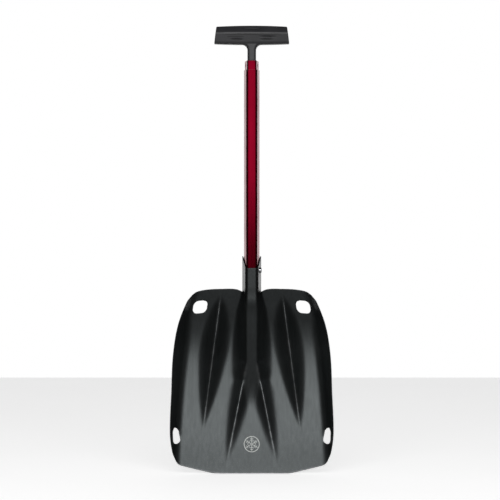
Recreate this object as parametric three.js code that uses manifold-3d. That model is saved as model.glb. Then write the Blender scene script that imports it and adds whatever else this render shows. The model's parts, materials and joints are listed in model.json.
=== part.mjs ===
// A take-apart avalanche shovel with a telescoping shaft, standing on its digging edge.
// Millimetres. X runs across the blade, +Z runs up the shaft, and the hollow of the blade faces -Y.
// The shaft is shown pushed in. Each piece is a mesh of its own.

import * as THREE from "three";
import { mergeVertices } from "three/addons/utils/BufferGeometryUtils.js";
import Module from "manifold-3d";

const wasm = await Module();
wasm.setup();

// ---- driving dimensions ------------------------------------------------------------------------

const SHEET = 1.5; // thickness of the blade's sheet and of its neck
const GAP = 0.3; // clearance left between two pieces that touch

// Lower shaft: a tube whose section is a trapezoid, with the narrow side to the front.
const SHAFT_FRONT_HALF = 8.0;
const SHAFT_BACK_HALF = 12.3;
const SHAFT_HALF_DEPTH = 13;
const SHAFT_FRONT_RADIUS = 4.2;
const SHAFT_BACK_RADIUS = 3.5;
const LOWER_WALL = 1.1;
const LOWER_BOTTOM = 259.8;
const LOWER_TOP = 605.5;

// Upper shaft: the same section, inset so that it slides inside the lower one.
const SLIDE_CLEARANCE = 0.2;
const UPPER_WALL = 1.2;
const UPPER_BOTTOM = 336;
const UPPER_TOP = 619;
const EXTENSION = 200; // how far the upper shaft pulls out

// Neck of the blade, which holds the lower shaft. Its mouth is cut at a slant.
const NECK_FRONT_LIP = 308.8;
const NECK_REAR_LIP = 326.4;
const SOCKET_FLOOR = 257;
const PLATE_FRONT = SHAFT_HALF_DEPTH + SLIDE_CLEARANCE + 0.1;
const PLATE_HALF_WIDTH = 12.1;
const PLATE_BOTTOM = 246;

// Push buttons
const BLADE_BUTTON_HEIGHT = 305.3;
const BLADE_BUTTON_RADIUS = 4;
const SHAFT_BUTTON_HEIGHT = 365;
const SHAFT_BUTTON_RADIUS = 3.5;
const BUTTON_STANDS_PROUD = 3.8;

// Spring strips, each bent into a U
const STRIP_THICKNESS = 0.8;
const STRIP_WIDTH = 8;
const BLADE_SPRING = { outerRadius: 7.8, legs: 36, bendHeight: 281 };
const SHAFT_SPRING = { legs: 32, bendHeight: 388 };

// T-grip
const GRIP_TOP = 671.8;
const GRIP_BOTTOM = 643.4;
const GRIP_TOP_HALF_LENGTH = 53;
const GRIP_BOTTOM_HALF_LENGTH = 56.2;
const GRIP_WALL = 2.6;
const GRIP_CAP_DEPTH = 7;
const GRIP_BOW_TOP = 1.5; // how far the bar's top drops towards its ends
const GRIP_BOW_BOTTOM = 1.2; // how far its underside rises towards them
// Corners of the bar's section as [y, z, radius]: a crest along the front, a rounder back
const GRIP_SECTION = [
  [-5, GRIP_TOP, 5], [-15.4, 661, 3.5], [-11.8, GRIP_BOTTOM, 5],
  [11.8, GRIP_BOTTOM, 5], [15, 657, 8], [6, GRIP_TOP, 6],
];
const GRIP_SOLID_MIDDLE = 14; // half length of the bar that is not hollow
const GRIP_NECK_HALF_WIDTH = 6.45;
const GRIP_NECK_HALF_DEPTH = 11;
const GRIP_NECK_CORNER = 4;
const GRIP_FLARE_START = 634.8;
const GRIP_FLARE_RADIUS = 8.8;
const GRIP_SPIGOT_BOTTOM = 572;
const GRIP_PIN_HEIGHT = 612.3;
const GRIP_PIN_RADIUS = 2;

// Corner holes of the blade
const UPPER_HOLE = { x: 77.8, z: 249.3, width: 21, height: 19.5, radius: 7.5, lean: 0.16 };
const LOWER_HOLE = { x: 114.8, z: 55.8, width: 15, height: 24, radius: 7, lean: 0.06 };

// ---- the blade's curves, each a smooth line through a few stations [position, value] -------------

// How far back the pan lies, up the middle of the blade
const PAN_PROFILE = [
  [0, 4], [50, 21], [100, 33], [150, 40], [190, 41.5], [225, 36], [250, 25.5], [277, 7],
];
// Half width of the outline between its lower and upper corners
const SIDE_OUTLINE = [
  [17.5, 113.5], [32, 118.9], [62, 122.4], [122, 120.4], [176, 117.9], [221, 110.7], [257, 97.3], [268, 89],
];
// Height of the lower and upper edges above the digging edge, from the middle outwards
const LOWER_EDGE = [[0, 0], [50, 0.2], [62, 1.4], [104, 11], [110, 13.4], [113.5, 17.5]];
const UPPER_EDGE = [
  [0, 272], [13, 272.2], [23, 276], [45, 277], [60, 276.2], [75, 274.3], [83, 272], [89, 268],
];
// Where the pan starts to turn forward into the side walls
const BEND_LINE = [[0, 105.3], [47, 103.3], [122, 98.3], [178, 92.3], [215, 87.8], [244, 83.3], [277, 72.3]];
const SIDE_WALL_SLOPE = 2;
const SIDE_WALL_RADIUS = 14;

// Socket rib: a flat front with rounded corners, from the neck down to where it fades into the pan
const RIB_TOP = 256;
const RIB_FADE = 119;
const RIB_FRONT = -14.5;
// Half width of its flat front
const RIB_HALF_WIDTH = [
  [110, 3], [119, 5], [130, 7.6], [140, 8], [150, 6.8], [167, 5.4], [200, 5.2], [249, 5], [277, 4.4],
];
const RIB_FLANK_SLOPE = [
  [119, 1.2], [150, 1.2], [167, 1.45], [200, 2.2], [225, 2.9], [249, 3.6], [262, 5], [272, 6.05],
];
const RIB_CORNER = [[119, 4], [200, 4.5], [249, 5], [262, 5.9]];
const RIB_FILLET = 14; // how softly its flanks run into the pan
const CORNER_TO_EDGE = 1.8; // from the end of the flat front to the middle of its rounded corner

// Ridges: each crest is straight from [x, z] at its top to [x, z] at its foot, in front of the pan.
// The centre ridges leave the rib's corners, with crests level with its front down to CENTRE_LEAVES.
const CENTRE_RIDGE = { top: [7.2, 167], foot: [33, 37] };
const CENTRE_LEAVES = 140;
const CENTRE_FLANK_SLOPE = [[0, 0.95], [94, 1], [150, 1.05], [167, 1.45]];
const OUTER_RIDGE = { top: [47, 264], foot: [71, 83] };
const OUTER_FLANK_SLOPE = 1.2;
const CREST_RADIUS = 1.6;
const FILLET = 8; // how softly the ridges run into the pan

// Rows up the blade's mesh, and columns of its rib, its valleys and its sides
const ROWS = 32;
const RIB_COLUMNS = 2;
const VALLEY_COLUMNS = 9;
const SIDE_COLUMNS = 10;

// ---- helpers -----------------------------------------------------------------------------------

// Value at t of the smooth curve through the stations, held level past the ends
function along(stations, t) {
  const last = stations.length - 1;
  if (t <= stations[0][0]) return stations[0][1];
  if (t >= stations[last][0]) return stations[last][1];
  let i = 0;
  while (t > stations[i + 1][0]) i += 1;
  const slopeAt = (k) => {
    const before = stations[Math.max(k - 1, 0)];
    const after = stations[Math.min(k + 1, last)];
    return (after[1] - before[1]) / (after[0] - before[0]);
  };
  const [t0, v0] = stations[i];
  const [t1, v1] = stations[i + 1];
  const span = t1 - t0;
  const s = (t - t0) / span;
  const bend0 = slopeAt(i) * span;
  const bend1 = slopeAt(i + 1) * span;
  const fromStart = v0 * (1 + 2 * s) * (1 - s) ** 2 + bend0 * s * (1 - s) ** 2;
  const fromEnd = v1 * s * s * (3 - 2 * s) + bend1 * s * s * (s - 1);
  return fromStart + fromEnd;
}

// Straight line through two points [a, va] and [b, vb], taken at t
function onLine([a, va], [b, vb], t) {
  return va + ((vb - va) * (t - a)) / (b - a);
}

// The smaller of two values, with a soft change from one to the other
function softMin(a, b, softness) {
  const near = Math.max(softness - Math.abs(a - b), 0) / softness;
  return Math.min(a, b) - (near * near * softness) / 4;
}

// Zero up to d = 0, then a round corner that runs into a straight rise of the given slope
function roundCorner(d, slope, radius) {
  if (d <= 0) return 0;
  const turn = Math.atan(slope);
  const arcEnd = radius * Math.sin(turn);
  if (d < arcEnd) return radius - Math.sqrt(radius * radius - d * d);
  return radius * (1 - Math.cos(turn)) + slope * (d - arcEnd);
}

function toSolid(geometry) {
  const bare = geometry.clone();
  bare.deleteAttribute("normal");
  bare.deleteAttribute("uv");
  const merged = mergeVertices(bare, 1e-4);
  return new wasm.Manifold(
    new wasm.Mesh({
      numProp: 3,
      vertProperties: new Float32Array(merged.attributes.position.array),
      triVerts: new Uint32Array(merged.index.array),
    }),
  );
}

function toGeometry(solid) {
  const result = solid.getMesh();
  const geometry = new THREE.BufferGeometry();
  geometry.setAttribute("position", new THREE.BufferAttribute(new Float32Array(result.vertProperties), 3));
  geometry.setIndex(new THREE.BufferAttribute(new Uint32Array(result.triVerts), 1));
  geometry.computeVertexNormals();
  return geometry;
}

function piece(name, shape, material) {
  const geometry = shape.isBufferGeometry ? shape : toGeometry(shape);
  const mesh = new THREE.Mesh(geometry, material);
  mesh.name = name;
  return mesh;
}

function box(low, high) {
  const size = high.map((value, i) => value - low[i]);
  const geometry = new THREE.BoxGeometry(...size);
  geometry.translate(...low.map((value, i) => value + size[i] / 2));
  return toSolid(geometry);
}

// A solid bar along an axis ("x" or "y") through the point
function bar(axis, point, radius, length, sides = 20) {
  const geometry = new THREE.CylinderGeometry(radius, radius, length, sides);
  if (axis === "x") geometry.rotateZ(Math.PI / 2);
  geometry.translate(...point);
  return toSolid(geometry);
}

// ---- the trapezoidal section -------------------------------------------------------------------

const SIDE_ANGLE = Math.atan((SHAFT_BACK_HALF - SHAFT_FRONT_HALF) / (2 * SHAFT_HALF_DEPTH));

// Half width of the section at depth y, for a surface that lies inset inside the lower shaft's outside
function halfWidth(y, inset) {
  const outside = onLine([-SHAFT_HALF_DEPTH, SHAFT_FRONT_HALF], [SHAFT_HALF_DEPTH, SHAFT_BACK_HALF], y);
  return outside - inset / Math.cos(SIDE_ANGLE);
}

// Outline of the section with rounded corners, drawn anticlockwise
function sectionOutline(inset, steps = 4) {
  const depth = SHAFT_HALF_DEPTH - inset;
  const corners = [
    [-halfWidth(-depth, inset), -depth, Math.max(SHAFT_FRONT_RADIUS - inset, 0.6)],
    [halfWidth(-depth, inset), -depth, Math.max(SHAFT_FRONT_RADIUS - inset, 0.6)],
    [halfWidth(depth, inset), depth, Math.max(SHAFT_BACK_RADIUS - inset, 0.6)],
    [-halfWidth(depth, inset), depth, Math.max(SHAFT_BACK_RADIUS - inset, 0.6)],
  ];
  return roundedPolygon(corners, steps);
}

// Corner list [x, y, radius] to points, each corner an arc of the given number of steps
function roundedPolygon(corners, steps) {
  const points = [];
  corners.forEach(([x, y, radius], i) => {
    const before = corners[(i + corners.length - 1) % corners.length];
    const after = corners[(i + 1) % corners.length];
    const corner = new THREE.Vector2(x, y);
    const toBefore = new THREE.Vector2(before[0], before[1]).sub(corner).normalize();
    const toAfter = new THREE.Vector2(after[0], after[1]).sub(corner).normalize();
    const halfAngle = Math.acos(THREE.MathUtils.clamp(toBefore.dot(toAfter), -1, 1)) / 2;
    const reach = radius / Math.tan(halfAngle);
    const inward = toBefore.clone().add(toAfter).normalize();
    const centre = inward.multiplyScalar(radius / Math.sin(halfAngle)).add(corner);
    const start = toBefore.clone().multiplyScalar(reach).add(corner).sub(centre).angle();
    const end = toAfter.clone().multiplyScalar(reach).add(corner).sub(centre).angle();
    let turn = end - start;
    if (turn < 0) turn += 2 * Math.PI;
    for (let k = 0; k <= steps; k += 1) {
      const angle = start + (turn * k) / steps;
      const spoke = new THREE.Vector2(radius * Math.cos(angle), radius * Math.sin(angle));
      points.push(spoke.add(centre));
    }
  });
  return points;
}

// A prism that stands on bottom and ends at top, open through the middle if hollow is given
function prism(outline, bottom, top, hollow = null) {
  const shape = new THREE.Shape(outline);
  if (hollow) shape.holes.push(new THREE.Path(hollow));
  const geometry = new THREE.ExtrudeGeometry(shape, { depth: top - bottom, bevelEnabled: false });
  geometry.translate(0, 0, bottom);
  return toSolid(geometry);
}

// ---- blade -------------------------------------------------------------------------------------

// Depth of the pan with its curled side walls
function panDepth(x, z) {
  const past = Math.abs(x) - along(BEND_LINE, z);
  return along(PAN_PROFILE, z) - roundCorner(past, SIDE_WALL_SLOPE, SIDE_WALL_RADIUS);
}

// Depth of a ridge, given its crest's depth at this height
function ridgeDepth(ridge, crestDepth, slope, x, z) {
  const away = Math.abs(x) - crestLine(ridge, z);
  return crestDepth + slope * (Math.sqrt(away * away + CREST_RADIUS * CREST_RADIUS) - CREST_RADIUS);
}

// x of a ridge's crest at height z
function crestLine({ top, foot }, z) {
  return onLine([top[1], top[0]], [foot[1], foot[0]], z);
}

function outerCrestDepth(z) {
  const [topZ, footZ] = [OUTER_RIDGE.top[1], OUTER_RIDGE.foot[1]];
  return onLine([topZ, along(PAN_PROFILE, topZ)], [footZ, along(PAN_PROFILE, footZ)], z);
}

function centreCrestDepth(z) {
  if (z > CENTRE_LEAVES) return ribFrontDepth(z);
  const footZ = CENTRE_RIDGE.foot[1];
  return onLine([CENTRE_LEAVES, ribFrontDepth(CENTRE_LEAVES)], [footZ, along(PAN_PROFILE, footZ)], z);
}

function ribFrontDepth(z) {
  const slanted = onLine([RIB_TOP, RIB_FRONT], [RIB_FADE, along(PAN_PROFILE, RIB_FADE)], z);
  return -softMin(-slanted, -RIB_FRONT, 3);
}

function ribDepth(x, z) {
  const outside = Math.abs(x) - along(RIB_HALF_WIDTH, z);
  return ribFrontDepth(z) + roundCorner(outside, along(RIB_FLANK_SLOPE, z), along(RIB_CORNER, z));
}

// Depth of the blade's front face at x and z: the foremost of the pan, the rib and the ridges
function frontDepth(x, z) {
  const outer = ridgeDepth(OUTER_RIDGE, outerCrestDepth(z), OUTER_FLANK_SLOPE, x, z);
  const depth = softMin(softMin(panDepth(x, z), outer, FILLET), ribDepth(x, z), RIB_FILLET);
  const below = CENTRE_RIDGE.top[1] - z;
  if (below <= 0) return depth;
  const centre = ridgeDepth(CENTRE_RIDGE, centreCrestDepth(z), along(CENTRE_FLANK_SLOPE, z), x, z);
  return softMin(depth, centre, THREE.MathUtils.lerp(0.1, FILLET, Math.min(below / 40, 1)));
}

// Depth of the back face, so that the sheet has its thickness square to the surface
function backDepth(x, z) {
  const step = 0.6;
  const slopeX = (frontDepth(x + step, z) - frontDepth(x - step, z)) / (2 * step);
  const slopeZ = (frontDepth(x, z + step) - frontDepth(x, z - step)) / (2 * step);
  return frontDepth(x, z) + SHEET * Math.min(Math.hypot(1, slopeX, slopeZ), 6);
}

// Lines that the mesh's columns follow, as x at height z
function centreLine(z) {
  if (z < CENTRE_RIDGE.top[1]) return crestLine(CENTRE_RIDGE, z);
  return along(RIB_HALF_WIDTH, z) + CORNER_TO_EDGE;
}

function outerLine(z) {
  return crestLine(OUTER_RIDGE, z);
}

// Point between the middle and the outer crest: share 0..1 between two lines, v 0..1 up the blade
function innerPoint(lineA, lineB, share, v) {
  let z = v * UPPER_EDGE[0][1];
  let x = 0;
  for (let pass = 0; pass < 4; pass += 1) {
    x = THREE.MathUtils.lerp(lineA(z), lineB(z), share);
    z = THREE.MathUtils.lerp(along(LOWER_EDGE, x), along(UPPER_EDGE, x), v);
  }
  return new THREE.Vector2(x, z);
}

// Point between the outer crest and the side of the outline
function outerPoint(share, v) {
  const crest = (t) => innerPoint(outerLine, outerLine, 0, t);
  const [lowZ, highZ] = [SIDE_OUTLINE[0][0], SIDE_OUTLINE[SIDE_OUTLINE.length - 1][0]];
  const side = (t) => {
    const z = THREE.MathUtils.lerp(lowZ, highZ, t);
    return new THREE.Vector2(along(SIDE_OUTLINE, z), z);
  };
  const point = crest(v).lerp(side(v), share);
  [[0, LOWER_EDGE, 1 - v], [1, UPPER_EDGE, v]].forEach(([end, edge, weight]) => {
    const straight = crest(end).lerp(side(end), share);
    const bow = along(edge, straight.x) - straight.y;
    point.y += bow * weight;
  });
  return point;
}

// Plan of the mesh: columns from the left side to the right side, each a list of points up the blade
function bladeColumns() {
  const half = [];
  for (let i = 0; i < RIB_COLUMNS; i += 1) {
    half.push((v) => innerPoint(() => 0, centreLine, i / RIB_COLUMNS, v));
  }
  for (let i = 0; i < VALLEY_COLUMNS; i += 1) {
    const share = (i / VALLEY_COLUMNS) ** 1.3;
    half.push((v) => innerPoint(centreLine, outerLine, share, v));
  }
  for (let i = 0; i <= SIDE_COLUMNS; i += 1) half.push((v) => outerPoint(i / SIDE_COLUMNS, v));
  const rightSide = half.map((at) => Array.from({ length: ROWS + 1 }, (_, j) => at(j / ROWS)));
  const mirrored = (column) => column.map((p) => new THREE.Vector2(-p.x, p.y));
  const leftSide = rightSide.slice(1).reverse().map(mirrored);
  return [...leftSide, ...rightSide];
}

function pressedSheet() {
  const columns = bladeColumns();
  const positions = [];
  const index = [];
  const rows = ROWS + 1;
  [frontDepth, backDepth].forEach((depth) => {
    columns.forEach((column) => column.forEach((p) => positions.push(p.x, depth(p.x, p.y), p.y)));
  });
  const backStart = columns.length * rows;
  const quad = (a, b, c, d) => index.push(a, b, c, a, c, d);
  for (let i = 0; i < columns.length - 1; i += 1) {
    for (let j = 0; j < ROWS; j += 1) {
      const a = i * rows + j;
      const b = a + rows;
      quad(a, b, b + 1, a + 1);
      quad(backStart + a, backStart + a + 1, backStart + b + 1, backStart + b);
    }
  }
  const rim = (a, b) => quad(b, a, backStart + a, backStart + b);
  const lastColumn = (columns.length - 1) * rows;
  for (let i = 0; i < columns.length - 1; i += 1) {
    rim(i * rows, (i + 1) * rows);
    rim((i + 1) * rows + ROWS, i * rows + ROWS);
  }
  for (let j = 0; j < ROWS; j += 1) {
    rim(j + 1, j);
    rim(lastColumn + j, lastColumn + j + 1);
  }
  const geometry = new THREE.BufferGeometry();
  geometry.setAttribute("position", new THREE.BufferAttribute(new Float32Array(positions), 3));
  geometry.setIndex(index);
  return toSolid(geometry);
}

// Wedge above the slanted mouth of the neck
function aboveMouth() {
  const reach = 40;
  const neckHalfDepth = SHAFT_HALF_DEPTH + SLIDE_CLEARANCE + SHEET;
  const rise = (NECK_REAR_LIP - NECK_FRONT_LIP) / (2 * neckHalfDepth);
  const middle = (NECK_REAR_LIP + NECK_FRONT_LIP) / 2;
  const side = new THREE.Shape([
    new THREE.Vector2(-reach, middle - rise * reach),
    new THREE.Vector2(reach, middle + rise * reach),
    new THREE.Vector2(reach, middle + 3 * reach),
    new THREE.Vector2(-reach, middle + 3 * reach),
  ]);
  return sweptAlongX(side, -reach, reach);
}

// Rounded square cutter that runs square through the sheet at the hole's centre
function cornerHole(hole, side, tilt) {
  const { width, height, radius, lean } = hole;
  const corners = [[-1, -1], [1, -1], [1, 1], [-1, 1]].map(([across, up]) => {
    const x = (across * width) / 2 - (lean * up * height) / 2;
    const z = (up * height) / 2 - (lean * across * width) / 4;
    return [side * x, z, radius];
  });
  if (side < 0) corners.reverse();
  const shape = new THREE.Shape(roundedPolygon(corners, 5));
  const geometry = new THREE.ExtrudeGeometry(shape, { depth: 60, bevelEnabled: false });
  geometry.translate(0, 0, -30);
  geometry.rotateX(Math.PI / 2);
  geometry.rotateZ(side * tilt);
  geometry.translate(side * hole.x, frontDepth(hole.x, hole.z), hole.z);
  return toSolid(geometry);
}

// The back of the neck is open between its side walls, where the back plate is welded in
function backSlot(clearance) {
  const half = PLATE_HALF_WIDTH + clearance;
  return box([-half, PLATE_FRONT - clearance / 2, PLATE_BOTTOM - 4], [half, 40, NECK_REAR_LIP + 20]);
}

function makeBlade() {
  const passage = sectionOutline(-SLIDE_CLEARANCE);
  const neckOutside = sectionOutline(-SLIDE_CLEARANCE - SHEET);
  const neck = prism(neckOutside, SOCKET_FLOOR - 3, NECK_REAR_LIP + 10, passage).subtract(aboveMouth());
  let blade = pressedSheet().add(neck);
  blade = blade.subtract(prism(passage, SOCKET_FLOOR, NECK_REAR_LIP + 20)).subtract(backSlot(GAP));
  [-1, 1].forEach((side) => {
    blade = blade.subtract(cornerHole(UPPER_HOLE, side, 0));
    blade = blade.subtract(cornerHole(LOWER_HOLE, side, -Math.atan(SIDE_WALL_SLOPE)));
  });
  return blade.subtract(sideBar(BLADE_BUTTON_RADIUS + GAP, BLADE_BUTTON_HEIGHT, -1, 8));
}

function makeBackPlate() {
  const blank = box(
    [-PLATE_HALF_WIDTH, PLATE_FRONT, PLATE_BOTTOM],
    [PLATE_HALF_WIDTH, PLATE_FRONT + SHEET, NECK_REAR_LIP + 5],
  );
  return blank.subtract(aboveMouth());
}

// ---- shaft -------------------------------------------------------------------------------------

const UPPER_INSET = LOWER_WALL + SLIDE_CLEARANCE;
const UPPER_INSIDE = UPPER_INSET + UPPER_WALL;
const UPPER_BACK_FACE = SHAFT_HALF_DEPTH - UPPER_INSET;

// A bar square through the right-hand wall, between two distances out from the lower shaft's surface
function sideBar(radius, z, from, to) {
  const geometry = new THREE.CylinderGeometry(radius, radius, to - from, 20);
  geometry.rotateZ(Math.PI / 2);
  geometry.translate((from + to) / 2, 0, 0);
  geometry.rotateZ(-SIDE_ANGLE);
  geometry.translate(halfWidth(0, 0), 0, z);
  return toSolid(geometry);
}

// A bar through the back wall
function backBar(radius, z) {
  return bar("y", [0, SHAFT_HALF_DEPTH, z], radius, 8);
}

function makeLowerShaft() {
  const tube = prism(sectionOutline(0), LOWER_BOTTOM, LOWER_TOP, sectionOutline(LOWER_WALL));
  return tube
    .subtract(sideBar(BLADE_BUTTON_RADIUS + GAP, BLADE_BUTTON_HEIGHT, -4, 4))
    .subtract(backBar(SHAFT_BUTTON_RADIUS + GAP, SHAFT_BUTTON_HEIGHT))
    .subtract(backBar(SHAFT_BUTTON_RADIUS + GAP, SHAFT_BUTTON_HEIGHT + EXTENSION));
}

function makeUpperShaft() {
  const tube = prism(sectionOutline(UPPER_INSET), UPPER_BOTTOM, UPPER_TOP, sectionOutline(UPPER_INSIDE));
  return tube
    .subtract(backBar(SHAFT_BUTTON_RADIUS + GAP, SHAFT_BUTTON_HEIGHT))
    .subtract(bar("x", [0, 0, GRIP_PIN_HEIGHT], GRIP_PIN_RADIUS + GAP, 40));
}

// Plug with a flange below the tube and a hollow spigot up inside it
function plug(flangeInset, insideInset, bottom, flangeTop, top) {
  const flange = prism(sectionOutline(flangeInset), bottom, flangeTop);
  const spigot = prism(sectionOutline(insideInset + GAP), flangeTop - 0.5, top);
  return flange.add(spigot).subtract(prism(sectionOutline(insideInset + GAP + 1.8), bottom - 1, top + 1));
}

function makeLowerShaftPlug() {
  const flangeTop = LOWER_BOTTOM - GAP;
  return plug(0, LOWER_WALL, flangeTop - 2, flangeTop, LOWER_BOTTOM + 10);
}

function makeUpperShaftGuide() {
  const flangeTop = UPPER_BOTTOM - GAP;
  const flangeInset = LOWER_WALL + SLIDE_CLEARANCE / 2;
  return plug(flangeInset, UPPER_INSIDE, flangeTop - 6, flangeTop, UPPER_BOTTOM + 12);
}

// ---- locks -------------------------------------------------------------------------------------

// A bent strip: two legs joined by a half-round bend, drawn with its legs along +Y of the drawing
function bentStrip(outerRadius, legs) {
  const shape = new THREE.Shape();
  shape.moveTo(outerRadius, legs);
  shape.lineTo(outerRadius, 0);
  shape.absarc(0, 0, outerRadius, 0, Math.PI, true);
  shape.lineTo(-outerRadius, legs);
  shape.lineTo(-outerRadius + STRIP_THICKNESS, legs);
  shape.lineTo(-outerRadius + STRIP_THICKNESS, 0);
  shape.absarc(0, 0, outerRadius - STRIP_THICKNESS, Math.PI, 0, false);
  shape.lineTo(outerRadius - STRIP_THICKNESS, legs);
  const sweep = { depth: STRIP_WIDTH, bevelEnabled: false, curveSegments: 8 };
  const geometry = new THREE.ExtrudeGeometry(shape, sweep);
  geometry.translate(0, 0, -STRIP_WIDTH / 2);
  geometry.rotateX(Math.PI / 2);
  return geometry;
}

// Strip across the shaft from side to side, with its bend below the button
function makeBladeLockSpring() {
  const geometry = bentStrip(BLADE_SPRING.outerRadius, BLADE_SPRING.legs);
  geometry.translate(0, 0, BLADE_SPRING.bendHeight);
  return toSolid(geometry);
}

// Strip from the front wall to the back wall, with its bend above the button
function makeShaftLockSpring() {
  const geometry = bentStrip(SHAFT_HALF_DEPTH - UPPER_INSIDE - GAP, SHAFT_SPRING.legs);
  geometry.rotateX(Math.PI);
  geometry.rotateZ(Math.PI / 2);
  geometry.translate(0, 0, SHAFT_SPRING.bendHeight);
  return toSolid(geometry);
}

// Push button with a domed head, standing along +Y of its own frame from 0 to the given length
function domedButton(radius, length) {
  const crown = radius * 0.42;
  const profile = [[0, 0], [radius, 0], [radius, length - crown]];
  for (let k = 1; k <= 5; k += 1) {
    const angle = (k * Math.PI) / 10;
    profile.push([k < 5 ? radius * Math.cos(angle) : 0, length - crown + crown * Math.sin(angle)]);
  }
  return new THREE.LatheGeometry(profile.map(([out, up]) => new THREE.Vector2(out, up)), 20);
}

function makeBladeLockButton() {
  const inner = -1.5;
  const outer = SLIDE_CLEARANCE + SHEET + BUTTON_STANDS_PROUD;
  const geometry = domedButton(BLADE_BUTTON_RADIUS, outer - inner);
  geometry.rotateZ(-Math.PI / 2);
  geometry.translate(inner, 0, 0);
  geometry.rotateZ(-SIDE_ANGLE);
  geometry.translate(halfWidth(0, 0), 0, BLADE_BUTTON_HEIGHT);
  return toSolid(geometry);
}

function makeShaftLockButton() {
  const inner = UPPER_BACK_FACE - UPPER_WALL;
  const geometry = domedButton(SHAFT_BUTTON_RADIUS, SHAFT_HALF_DEPTH + BUTTON_STANDS_PROUD - inner);
  geometry.translate(0, inner, SHAFT_BUTTON_HEIGHT);
  return toSolid(geometry);
}

// ---- grip --------------------------------------------------------------------------------------

const GRIP_MIDDLE = (GRIP_TOP + GRIP_BOTTOM) / 2;

// Sweeps an outline drawn in (y, z) along x
function sweptAlongX(shape, from, to, steps = 1) {
  return toSolid(sweptGeometry(shape, from, to, steps));
}

function sweptGeometry(shape, from, to, steps = 1) {
  const geometry = new THREE.ExtrudeGeometry(shape, { depth: to - from, steps, bevelEnabled: false });
  geometry.applyMatrix4(new THREE.Matrix4().set(0, 0, 1, from, 1, 0, 0, 0, 0, 1, 0, 0, 0, 0, 0, 1));
  return geometry;
}

// Bows the bar's top down and its bottom up towards the ends, and slants the ends
function bowBar(geometry) {
  const place = geometry.attributes.position;
  for (let i = 0; i < place.count; i += 1) {
    const share = THREE.MathUtils.clamp((place.getZ(i) - GRIP_BOTTOM) / (GRIP_TOP - GRIP_BOTTOM), 0, 1);
    const out = (place.getX(i) / GRIP_BOTTOM_HALF_LENGTH) ** 2;
    const halfLength = THREE.MathUtils.lerp(GRIP_BOTTOM_HALF_LENGTH, GRIP_TOP_HALF_LENGTH, share);
    place.setX(i, (place.getX(i) * halfLength) / GRIP_BOTTOM_HALF_LENGTH);
    place.setZ(i, place.getZ(i) + out * THREE.MathUtils.lerp(GRIP_BOW_BOTTOM, -GRIP_BOW_TOP, share));
  }
  return geometry;
}

// The bar's section, drawn in by wall on all sides
function gripShape(wall) {
  const halfHeight = (GRIP_TOP - GRIP_BOTTOM) / 2;
  const shrink = 1 - wall / halfHeight;
  const corners = GRIP_SECTION.map(([y, z, radius]) => [
    y * shrink,
    GRIP_MIDDLE + (z - GRIP_MIDDLE) * shrink,
    radius * shrink,
  ]);
  return new THREE.Shape(roundedPolygon(corners, 4));
}

function barSolid(wall, from, to) {
  return toSolid(bowBar(sweptGeometry(gripShape(wall), from, to, 8)));
}

// A closed skin over a stack of rings, each a list of points [x, y, z]
function loft(rings) {
  const count = rings[0].length;
  const positions = rings.flat(2);
  const index = [];
  for (let level = 0; level < rings.length - 1; level += 1) {
    for (let i = 0; i < count; i += 1) {
      const a = level * count + i;
      const b = level * count + ((i + 1) % count);
      index.push(a, b, b + count, a, b + count, a + count);
    }
  }
  const top = (rings.length - 1) * count;
  for (let i = 1; i < count - 1; i += 1) {
    index.push(0, i + 1, i);
    index.push(top, top + i, top + i + 1);
  }
  const geometry = new THREE.BufferGeometry();
  geometry.setAttribute("position", new THREE.BufferAttribute(new Float32Array(positions), 3));
  geometry.setIndex(index);
  return toSolid(geometry);
}

// Neck of the grip: as wide as the front of the upper shaft, and flaring into the bar
function gripNeck() {
  const [w, d, r] = [GRIP_NECK_HALF_WIDTH, GRIP_NECK_HALF_DEPTH, GRIP_NECK_CORNER];
  const outline = roundedPolygon([[-w, -d, r], [w, -d, r], [w, d, r], [-w, d, r]], 5);
  const heights = [UPPER_TOP + GAP, GRIP_FLARE_START];
  for (let k = 1; k <= 6; k += 1) {
    heights.push(GRIP_FLARE_START + GRIP_FLARE_RADIUS * Math.sin((k * Math.PI) / 12));
  }
  heights.push(GRIP_FLARE_START + GRIP_FLARE_RADIUS + 4);
  const rings = heights.map((z) => {
    const rise = THREE.MathUtils.clamp((z - GRIP_FLARE_START) / GRIP_FLARE_RADIUS, 0, 1);
    const flare = GRIP_FLARE_RADIUS * (1 - Math.sqrt(1 - rise * rise));
    return outline.map((p) => [p.x + Math.sign(p.x) * flare, p.y, z]);
  });
  return loft(rings);
}

function makeGripBody() {
  const spigot = prism(sectionOutline(UPPER_INSIDE + GAP), GRIP_SPIGOT_BOTTOM, UPPER_TOP + GAP + 0.2);
  const hollowTop = GRIP_PIN_HEIGHT - 8;
  const spigotHollow = prism(sectionOutline(UPPER_INSIDE + GAP + 2), GRIP_SPIGOT_BOTTOM - 1, hollowTop);
  const end = GRIP_BOTTOM_HALF_LENGTH;
  return barSolid(0, -end, end)
    .add(gripNeck())
    .add(spigot)
    .subtract(spigotHollow)
    .subtract(barSolid(GRIP_WALL, GRIP_SOLID_MIDDLE, end + 4))
    .subtract(barSolid(GRIP_WALL, -end - 4, -GRIP_SOLID_MIDDLE))
    .subtract(bar("x", [0, 0, GRIP_PIN_HEIGHT], GRIP_PIN_RADIUS + GAP, 40));
}

function makeGripCap(side) {
  const end = GRIP_BOTTOM_HALF_LENGTH - 0.4;
  const inner = end - GRIP_CAP_DEPTH;
  return side > 0 ? barSolid(GRIP_WALL + GAP, inner, end) : barSolid(GRIP_WALL + GAP, -end, -inner);
}

function makeGripPin() {
  return bar("x", [0, 0, GRIP_PIN_HEIGHT], GRIP_PIN_RADIUS, 2 * halfWidth(0, UPPER_INSET) - 0.4);
}

// ---- materials and assembly --------------------------------------------------------------------

function finish(color, roughness, metalness) {
  return new THREE.MeshStandardMaterial({ color, roughness, metalness });
}

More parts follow.
